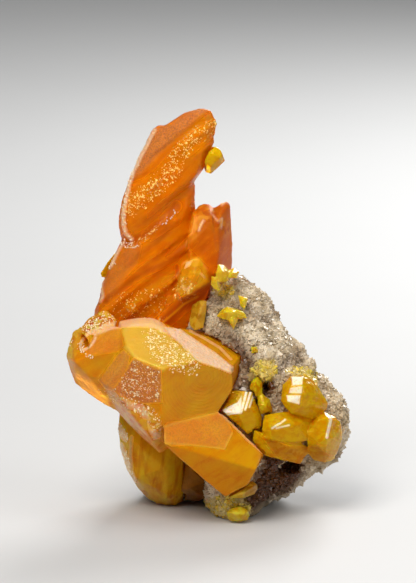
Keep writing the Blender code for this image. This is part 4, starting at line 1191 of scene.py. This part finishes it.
@dataclass
class Crystal:
    """One sulfur piece, made from its CAD node with rounded edges and a grown surface.

    The spans facing and away say how a face must be turned: 1 is towards the viewer, and -1 is away.
    """

    node: str
    look: Sulfur
    cell: float = 0.16
    rounding: int = 2
    swell: float = 0.05
    swell_wave: float = 2.4
    grit: float = 0.02
    grit_wave: float = 0.5
    crusted: float = 0.12
    crust_wave: float = 0.45
    lip: float = 0.0
    terrace: float = 0.0
    terrace_wave: float = 1.8
    terrace_steps: float = 4.0
    chip: float = 0.0
    chip_wave: float = 1.0
    chip_depth: float = 0.12
    chip_middle: float = 0.5
    ridge_turn: float = 38.0
    ridge_waves: Pair = (3.3, 0.8)
    ridge_heights: Pair = (0.0, 0.0)
    ridge_rise: float = 0.8
    ridge_fall: float = 0.2
    ridge_middle: float = 0.5
    ridge_fade: float = 3.0
    ridge_share: float = 0.5
    frost_cover: float = 0.7
    wander: float = 0.27
    wander_wave: float = 2.1
    facing: Span = (-0.15, 0.05)
    away: Span = (0.1, -0.3)
    cloud_wave: float = 5.0
    clouds: Span = (0.0, 0.4)
    back_frost: float = 0.7
    back_specks: float = 0.2
    shade_wave: float = 4.0
    shades: Span = (0.0, 0.5)
    back_shade: float = 0.5
    marks: tuple[Mark, ...] = ()

    def build(self) -> bpy.types.Object:
        """Make, mark and dress the piece.

        Returns:
            The finished object.
        """
        piece = self.shape()
        points, normals = surface(piece.data)
        marks = self.paint(points, normals)
        points += normals * (self.relief(points, marks) * MM)[:, None]
        settle(piece.data, points)
        write_marks(piece.data, marks)
        dress_piece(piece, self.look.material(), self.node)
        return piece

    def shape(self) -> bpy.types.Object:
        """Make the piece's fine mesh from its CAD node."""
        return finely_meshed(self.node, self.node + "_grown", self.cell, self.rounding)

    def paint(self, points: np.ndarray, normals: np.ndarray) -> Marks:
        """Work out the piece's marks.

        Args:
            points: World points of its surface.
            normals: Their normals.

        Returns:
            One value for each point and mask.
        """
        spots = front_view(points)
        facing = smooth_step(self.facing, normals @ TO_VIEWER)
        marks = {mask: np.zeros(len(points)) for mask in CRYSTAL_MASKS}
        marks[Mask.CHIP] += self.chip
        for mark in self.marks:
            strengthen(marks, mark.mask, mark.weight(spots) * facing)
        self.weather(points, normals, marks)
        return marks

    def weather(self, points: np.ndarray, normals: np.ndarray, marks: Marks) -> None:
        """Frost, fleck and darken the faces that look away from the viewer in cloudy places.

        Args:
            points: World points of its surface.
            normals: Their normals.
            marks: The marks, which are changed.
        """
        away = smooth_step(self.away, normals @ TO_VIEWER)
        cloud = smooth_step(self.clouds, noise_at(points, self.cloud_wave, Pattern.CLOUDS))
        strengthen(marks, Mask.FROST_AND_SHEEN, self.back_frost * away * cloud)
        strengthen(marks, Mask.SPECK, self.back_specks * away * (1.0 - cloud))
        shade = smooth_step(self.shades, noise_at(points, self.shade_wave, Pattern.SHADES))
        strengthen(marks, Mask.DEEP_AND_SHADE, self.back_shade * away * shade)

    def relief(self, points: np.ndarray, marks: Marks) -> np.ndarray:
        """How far the surface stands out at each point.

        Args:
            points: World points of its surface.
            marks: Its marks.

        Returns:
            Millimetres for each point.
        """
        grit = self.grit * noise_at(points, self.grit_wave, Pattern.GRIT)
        rise = self.swell * noise_at(points, self.swell_wave) + grit
        rough = np.maximum(marks[Mask.RIM_AND_HIGHLIGHT], marks[Mask.SPECK])
        crust = self.crusted * rough * noise_at(points, self.crust_wave, Pattern.CRUST)
        rise += crust + self.lip * marks[Mask.RIM_AND_HIGHLIGHT]
        steps = np.round(self.terrace_steps * noise_at(points, self.terrace_wave, Pattern.TERRACES))
        rise += self.terrace * (steps / self.terrace_steps)
        chips = chips_at(points, self.chip_wave) - self.chip_middle
        rise += self.chip_depth * marks[Mask.CHIP] * chips
        climb = self.climb(points)
        smooth = 1.0 - self.frost_cover * marks[Mask.FROST_AND_SHEEN]
        for wave, height in zip(self.ridge_waves, self.ridge_heights):
            saw = np.mod(climb / wave, 1.0)
            ridges = np.minimum(saw / self.ridge_rise, (1.0 - saw) / self.ridge_fall) - self.ridge_middle
            fade = self.ridge_share + noise_at(points, self.ridge_fade, Pattern.RIDGES + wave)
            rise += ridges * height * smooth * fade
        return rise

    def climb(self, points: np.ndarray) -> np.ndarray:
        """How far points lie across the growth ridges.

        Args:
            points: World points of its surface.

        Returns:
            Millimetres for each point.
        """
        spots = front_view(points)
        turn = math.radians(self.ridge_turn)
        across = spots[:, 1] * math.cos(turn) - spots[:, 0] * math.sin(turn)
        wave = self.ridge_waves[0]
        return across + self.wander * wave * noise_at(points, self.wander_wave * wave, Pattern.WANDER)


@dataclass
class SmallCrystal(Crystal):
    """A small crystal, with a finer mesh and sharper edges."""

    cell: float = 0.12
    rounding: int = 1
    terrace: float = 0.08


@dataclass
class Blade(Crystal):
    """The tall crystal, with growth ridges that climb to the right and painted shade in the grooves between
    them.
    """

    cell: float = 0.24
    rounding: int = 3
    lip: float = 0.12
    ridge_heights: Pair = (0.14, 0.03)
    marks: tuple[Mark, ...] = BLADE_MARKS
    groove_shade: float = 0.35
    band_start: Span = (0.35, 0.0)
    band_stop: Span = (0.85, 1.0)
    band_gaps: Span = (-0.3, 0.4)
    band_wave: float = 5.0
    eased: Path = BLADE_FACE
    ease_rounds: int = 30

    def shape(self) -> bpy.types.Object:
        """Make the fine mesh, with the ridges of the blade's face eased.

        Returns:
            The object.
        """
        piece = Crystal.shape(self)
        points, _ = surface(piece.data)
        within = inside(front_view(points), self.eased)
        mesh = bmesh.new()
        mesh.from_mesh(piece.data)
        mesh.verts.ensure_lookup_table()
        ease(mesh, [mesh.verts[index] for index in np.flatnonzero(within).tolist()], self.ease_rounds)
        mesh.to_mesh(piece.data)
        mesh.free()
        return piece

    def paint(self, points: np.ndarray, normals: np.ndarray) -> Marks:
        """Add soft painted shade in the grooves between the ridges to the plain marks.

        Args:
            points: World points of its surface.
            normals: Their normals.

        Returns:
            One value for each point and mask.
        """
        marks = Crystal.paint(self, points, normals)
        share = np.mod(self.climb(points) / self.ridge_waves[0], 1.0)
        # Painted shade in the grooves between the ridges.
        groove_shades = smooth_step(self.band_start, share) + smooth_step(self.band_stop, share)
        uneven = smooth_step(self.band_gaps, noise_at(points, self.band_wave, Pattern.BANDS))
        strengthen(marks, Mask.DEEP_AND_SHADE, self.groove_shade * groove_shades * uneven)
        return marks


def crystals() -> list[Crystal]:
    """Every crystal of the specimen, largest first.

    Returns:
        The crystals, none of them built yet.
    """
    return [
        Blade("tall_crystal", ORANGE),
        Crystal("front_crystal", PALE_ORANGE, cell=0.24, swell=0.07, lip=0.05, crusted=0.2,
                chip_depth=0.3, marks=FRONT_MARKS),
        Crystal("base_crystal", AMBER, cell=0.2, swell=0.1, chip=0.25, chip_wave=2.0, ridge_turn=84.0,
                ridge_waves=(1.3, 0.5), ridge_heights=(0.12, 0.04), marks=BASE_MARKS),
        Crystal("brown_crystal", BROWN_AND_SHADE, swell=0.1, chip=0.4),
        Crystal("yellow_cluster", YELLOW, cell=0.13, rounding=1, swell=0.02, terrace=0.12, chip=0.3,
                chip_depth=0.22, ridge_turn=-15.0, ridge_waves=(1.6, 0.6), ridge_heights=(0.09, 0.05),
                marks=CLUSTER_MARKS),
        Crystal("saddle_crystal", YELLOW, cell=0.11, rounding=1, swell=0.02, terrace=0.1, chip=0.25,
                chip_depth=0.22, ridge_turn=15.0, ridge_waves=(1.2, 0.45), ridge_heights=(0.05, 0.07),
                marks=SADDLE_MARKS),
        SmallCrystal("saddle_chips", YELLOW, terrace=0.1, chip=0.6),
        SmallCrystal("tip_crystal", YELLOW, terrace=0.05, chip=0.2),
        SmallCrystal("edge_crystal", YELLOW, terrace=0.0, chip=0.2),
        SmallCrystal("star_crystal", STRAW, chip=0.4),
        SmallCrystal("prism_crystal", STRAW, terrace=0.0, chip=0.3),
        SmallCrystal("speck_crystal", STRAW, terrace=0.0, chip=0.5),
        SmallCrystal("nook_crystal", OCHRE, chip=0.3),
        SmallCrystal("perch_crystals", STRAW, chip=0.5),
        SmallCrystal("toe_crystal", OCHRE, chip=0.6),
        SmallCrystal("foot_crystal", STRAW, rounding=2, crusted=0.2, chip=0.5),
    ]


# Grains

def weighed_triangles(data: bpy.types.Mesh, mask: Mask | None) -> tuple[np.ndarray, np.ndarray, np.ndarray]:
    """Triangles of a mesh, with their areas weighed by a mark.

    Args:
        data: The mesh.
        mask: The mark, or None to count every place alike.

    Returns:
        Corners as rows of three points, crosswise vectors, and weighed areas in square metres.
    """
    points, _ = surface(data)
    data.calc_loop_triangles()
    corners = np.empty(3 * len(data.loop_triangles), dtype=np.int32)
    data.loop_triangles.foreach_get("vertices", corners)
    corners = corners.reshape(-1, 3)
    places = points[corners]
    cross = np.cross(places[:, 1] - places[:, 0], places[:, 2] - places[:, 0])
    size = 0.5 * np.linalg.norm(cross, axis=1)
    if mask is not None:
        weight = np.empty(len(points), dtype=np.float32)
        data.attributes[mask.value].data.foreach_get("value", weight)
        size = size * weight[corners].mean(axis=1)
    return places, cross, size


def scattered(data: bpy.types.Mesh, count: int, draw: np.random.Generator,
              mask: Mask | None = None) -> tuple[np.ndarray, np.ndarray]:
    """Random spots spread over a mesh.

    Args:
        data: The mesh.
        count: How many spots.
        draw: Source of the random numbers.
        mask: Mark whose strength says how densely they lie, or None for evenly.

    Returns:
        The spots in metres and their normals, one a row.
    """
    places, cross, size = weighed_triangles(data, mask)
    chosen = draw.choice(len(size), count, p=size / size.sum())
    one = np.sqrt(draw.uniform(0.0, 1.0, count))[:, None]
    two = draw.uniform(0.0, 1.0, count)[:, None]
    first, second, third = (places[chosen, corner] for corner in range(3))
    spots = first * (1.0 - one) + second * one * (1.0 - two) + third * one * two
    return spots, cross[chosen] / np.linalg.norm(cross[chosen], axis=1)[:, None]


def clear_of(spots: np.ndarray, grown: list[bpy.types.Object], gap_m: float) -> np.ndarray:
    """Tell which spots keep a distance from the crystals.

    Args:
        spots: World points, one a row.
        grown: The crystals' objects.
        gap_m: The distance in metres.

    Returns:
        True for each spot that does.
    """
    mesh = bmesh.new()
    for piece in grown:
        mesh.from_mesh(piece.data)
    tree = BVHTree.FromBMesh(mesh)
    mesh.free()
    kept = []
    for spot in spots.tolist():
        nearest, normal, _, distance = tree.find_nearest(spot)
        outside = (Vector(spot) - nearest).dot(normal) > 0.0
        kept.append(outside and distance > gap_m)
    return np.array(kept)


@dataclass(frozen=True)
class Grain:
    """Little pointed crystal that is repeated, with its sizes in shares of its width."""

    radius: float = 0.6
    lean: float = 0.75
    stretch: Span = (0.7, 1.2)

    def shape(self) -> tuple[np.ndarray, np.ndarray]:
        """Make one grain.

        Returns:
            Its corners and its triangles.
        """
        pattern = bmesh.new()
        bmesh.ops.create_uvsphere(pattern, u_segments=4, v_segments=2, radius=self.radius)
        corners = np.array([vertex.co for vertex in pattern.verts])
        faces = np.array([[vertex.index for vertex in face.verts] for face in pattern.faces])
        pattern.free()
        return corners, faces

    def strewn(self, name: str, spots: np.ndarray, normals: np.ndarray, size: np.ndarray,
               draw: np.random.Generator) -> bpy.types.Object:
        """One mesh of many grains, each turned its own way.

        Args:
            name: Name of the piece.
            spots: Their places in metres, one a row.
            normals: Directions in which they stand.
            size: Their widths.
            draw: Source of the random numbers.

        Returns:
            The object.
        """
        corners, faces = self.shape()
        lean = normals + self.lean * draw.normal(size=normals.shape)
        up = lean / np.linalg.norm(lean, axis=1)[:, None]
        side = np.cross(up, draw.normal(size=up.shape))
        side /= np.linalg.norm(side, axis=1)[:, None]
        axes = np.stack((side, np.cross(up, side), up), axis=1)
        stretch = draw.uniform(*self.stretch, (len(spots), 1, 3)) * size[:, None, None] * MM
        placed = np.einsum("nki,nij->nkj", corners[None] * stretch, axes) + spots[:, None, :]
        placed[:, :, 2] = np.maximum(placed[:, :, 2], 0.0)
        places = faces[None] + len(corners) * np.arange(len(spots))[:, None, None]
        data = bpy.data.meshes.new(name)
        data.from_pydata(placed.reshape(-1, 3), [], places.reshape(-1, 3))
        return linked(name, data)


@dataclass
class Frosting:
    """White sugary grains on the crystals' crusted edges, so many for each square millimetre."""

    seed: int = 8
    density: float = 14.0
    edge: Span = (0.14, 0.36)
    grain: Grain = Grain()

    def build(self, grown: list[bpy.types.Object]) -> None:
        """Grow the grains where the crystals are marked for them.

        Args:
            grown: Finished crystals.
        """
        draw = np.random.default_rng(self.seed)
        places, ways = [], []
        for crystal in grown:
            area_m2 = weighed_triangles(crystal.data, Mask.SUGAR)[2].sum()
            count = int(self.density * area_m2 / MM ** 2)
            if count > 0:
                spots, normals = scattered(crystal.data, count, draw, Mask.SUGAR)
                places.append(spots)
                ways.append(normals)
        spots = np.concatenate(places)
        size = draw.uniform(*self.edge, len(spots))
        piece = self.grain.strewn("white_sugar", spots, np.concatenate(ways), size, draw)
        write_marks(piece.data, {Mask.TONE: draw.uniform(0.0, 1.0, len(spots))})
        dress_piece(piece, SUGAR.material())


@dataclass
class Rock:
    """The rock lump and its crust of little colourless crystals."""

    cell: float = 0.42
    rounding: int = 1
    swells: Pair = (0.4, 0.2)
    swell_waves: Pair = (3.4, 1.4)
    tone: float = 0.5
    facing: Span = (-0.3, 0.1)
    browning: float = 0.6
    brownings: Span = (0.1, 0.5)
    browning_wave: float = 7.0
    crevice: float = 0.45
    crevices: Span = (0.05, -0.45)
    marks: tuple[Mark, ...] = ROCK_MARKS
    grain: Grain = Grain()
    grains: int = 44000
    edge: Span = (0.36, 0.8)
    edge_change: float = 0.5
    edge_wave: float = 2.0
    large_share: float = 0.15
    large: float = 1.6
    coarse: float = 0.4
    coarse_places: Span = (0.05, 0.4)
    coarse_wave: float = 5.0
    widest: float = 1.7
    bare: float = 0.5
    clearance: float = 0.16
    floor_gap: float = 0.6
    seed: int = 5
    crust_parts: int = 3
    crumbs: int = 480
    crumb_edge: Span = (0.4, 1.2)
    crumb_seed: int = 6

    def build(self, grown: list[bpy.types.Object]) -> None:
        """Make the rock and grow the crust on it.

        Args:
            grown: Finished crystals, which the crust keeps clear of.
        """
        rock = finely_meshed("matrix", "rock", self.cell, self.rounding)
        points, normals = surface(rock.data)
        for swell, wave in zip(self.swells, self.swell_waves):
            points += normals * (swell * noise_at(points, wave) * MM)[:, None]
        settle(rock.data, points)
        marks = self.paint(points, normals)
        marks[Mask.TONE] = np.full(len(points), self.tone)
        write_marks(rock.data, marks)
        dress_piece(rock, ROCK.material(), "matrix")
        self.grow(rock.data, grown)
        self.strew(rock.data, grown)

    def paint(self, points: np.ndarray, normals: np.ndarray) -> Marks:
        """Work out the rock's marks.

        Args:
            points: World points.
            normals: Their normals.

        Returns:
            One value for each point and mask.
        """
        spots = front_view(points)
        facing = smooth_step(self.facing, normals @ TO_VIEWER)
        marks = {mask: np.zeros(len(points)) for mask in (Mask.BROWN_AND_SHADE, Mask.MOSS)}
        for mark in self.marks:
            strengthen(marks, mark.mask, mark.weight(spots) * facing)
        # Browner in cloudy places on the faces that turn from the viewer.
        cloud = noise_at(points, self.browning_wave, Pattern.BROWNINGS)
        browning = smooth_step(self.brownings, cloud) * (1.0 - facing)
        strengthen(marks, Mask.BROWN_AND_SHADE, self.browning * browning)
        # Painted shade: browner in the hollows between the broad swells.
        hollow = smooth_step(self.crevices, noise_at(points, self.swell_waves[0]))
        strengthen(marks, Mask.BROWN_AND_SHADE, self.crevice * hollow)
        return marks

    def widths(self, spots: np.ndarray, draw: np.random.Generator) -> np.ndarray:
        """Widths of the crust's grains.

        Args:
            spots: Their places in metres, one a row.
            draw: Source of the random numbers.

        Returns:
            One width for each grain.
        """
        change = self.edge_change * noise_at(spots, self.edge_wave, Pattern.GRAINS)
        size = draw.uniform(*self.edge, len(spots)) * (1.0 + change)
        size[draw.uniform(0.0, 1.0, len(spots)) < self.large_share] *= self.large
        cloud = noise_at(spots, self.coarse_wave, Pattern.WANDER)
        size *= 1.0 + self.coarse * smooth_step(self.coarse_places, cloud)
        return np.minimum(size, self.widest)

    def grow(self, data: bpy.types.Mesh, grown: list[bpy.types.Object]) -> None:
        """Grow the crust's grains over the rock.

        Args:
            data: The rock's mesh.
            grown: Finished crystals.
        """
        draw = np.random.default_rng(self.seed)
        spots, normals = scattered(data, self.grains, draw)
        keep = (spots[:, 2] > self.floor_gap * MM) & clear_of(spots, grown, self.clearance * MM)
        keep &= draw.uniform(0.0, 1.0, len(spots)) > self.bare * self.paint(spots, normals)[Mask.BROWN_AND_SHADE]
        spots, normals = spots[keep], normals[keep]
        marks = self.paint(spots, normals)
        size = self.widths(spots, draw)
        marks[Mask.TONE] = draw.uniform(0.0, 1.0, len(spots))
        material = CRUST.material()
        for part in range(self.crust_parts):
            own = slice(part, None, self.crust_parts)
            piece = self.grain.strewn(f"crust_{part + 1}", spots[own], normals[own], size[own], draw)
            write_marks(piece.data, {mask: values[own] for mask, values in marks.items()})
            dress_piece(piece, material)

    def strew(self, data: bpy.types.Mesh, grown: list[bpy.types.Object]) -> None:
        """Strew yellow crumbs over the rock's yellow places.

        Args:
            data: The rock's mesh.
            grown: Finished crystals.
        """
        draw = np.random.default_rng(self.crumb_seed)
        spots, normals = scattered(data, self.crumbs, draw, Mask.MOSS)
        keep = clear_of(spots, grown, self.clearance * MM)
        size = draw.uniform(*self.crumb_edge, len(spots))
        piece = self.grain.strewn("yellow_crumbs", spots[keep], normals[keep], size[keep], draw)
        dress_piece(piece, CRUMB.material())


# Studio

@dataclass(frozen=True)
class Softbox:
    """Square light aimed at the specimen, from an azimuth and an elevation in degrees."""

    name: str
    azimuth: float
    elevation: float
    distance_m: float
    width_m: float
    power: float
    colour: Colour = (1.0, 1.0, 1.0)

    def build(self, target: Vector) -> None:
        """Place the light.

        Args:
            target: Point that it is aimed at.
        """
        light = bpy.data.lights.new(self.name, "AREA")
        light.size = self.width_m
        light.energy = self.power
        light.color = self.colour
        lamp = linked(self.name, light)
        around, above = math.radians(self.azimuth), math.radians(self.elevation)
        level = math.cos(above)
        way = Vector((math.sin(around) * level, -math.cos(around) * level, math.sin(above)))
        lamp.location = target + way * self.distance_m
        lamp.rotation_euler = way.to_track_quat("Z", "Y").to_euler()


@dataclass(frozen=True)
class Studio:
    """Camera, lights and pale floor."""

    middle: Triple = (0.0, 38.58, -8.0)
    view_height: float = 97.17
    camera_distance_m: float = 2.5
    sensor: float = 36.0
    floor_width_m: float = 6.0
    floor_drop: float = 0.1
    sky: Colour = (0.85, 0.88, 0.93)
    sky_strength: float = 0.12
    lights: tuple[Softbox, ...] = (
        Softbox("key", -22.0, 48.0, 0.45, 0.22, 1.95, (1.0, 0.97, 0.93)),
        Softbox("back", 156.0, 28.0, 0.40, 0.20, 1.4),
        Softbox("top", 20.0, 80.0, 0.50, 0.35, 0.9),
        Softbox("fill", 65.0, 20.0, 0.60, 0.30, 0.75),
        Softbox("low", -58.0, 12.0, 0.60, 0.30, 0.15),
    )

    def build(self) -> None:
        """Set up everything around the specimen."""
        target = at(*self.middle)
        for softbox in self.lights:
            softbox.build(target)
        self.add_camera(target)
        self.add_floor()
        world = bpy.data.worlds.new("studio")
        world.use_nodes = True
        background = world.node_tree.nodes["Background"]
        background.inputs["Color"].default_value = (*self.sky, 1.0)
        background.inputs["Strength"].default_value = self.sky_strength
        bpy.context.scene.world = world
        bpy.context.scene.view_settings.view_transform = "Standard"

    def add_camera(self, target: Vector) -> None:
        """Aim the camera along the front view.

        Args:
            target: Point in the middle of the picture.
        """
        camera = bpy.data.cameras.new("camera")
        camera.lens = self.sensor * self.camera_distance_m / (self.view_height * MM)
        camera.sensor_width = self.sensor
        viewer = linked("camera", camera)
        viewer.location = target + Vector(TO_VIEWER) * self.camera_distance_m
        viewer.rotation_euler = (math.radians(90.0) - VIEW_TILT, 0.0, 0.0)
        bpy.context.scene.camera = viewer

    def add_floor(self) -> None:
        """Lay the pale floor."""
        mesh = bmesh.new()
        bmesh.ops.create_grid(mesh, x_segments=1, y_segments=1, size=0.5 * self.floor_width_m)
        bmesh.ops.translate(mesh, verts=mesh.verts, vec=(0.0, 0.0, -self.floor_drop * MM))
        floor = add_object("floor", mesh)
        floor.data.materials.append(FLOOR.material())


def main() -> None:
    """Build every piece and light the specimen."""
    logging.basicConfig(level=logging.INFO, format="%(message)s")
    grown = [crystal.build() for crystal in crystals()]
    Frosting().build(grown)
    Rock().build(grown)
    Studio().build()


if __name__ == "__main__":
    main()
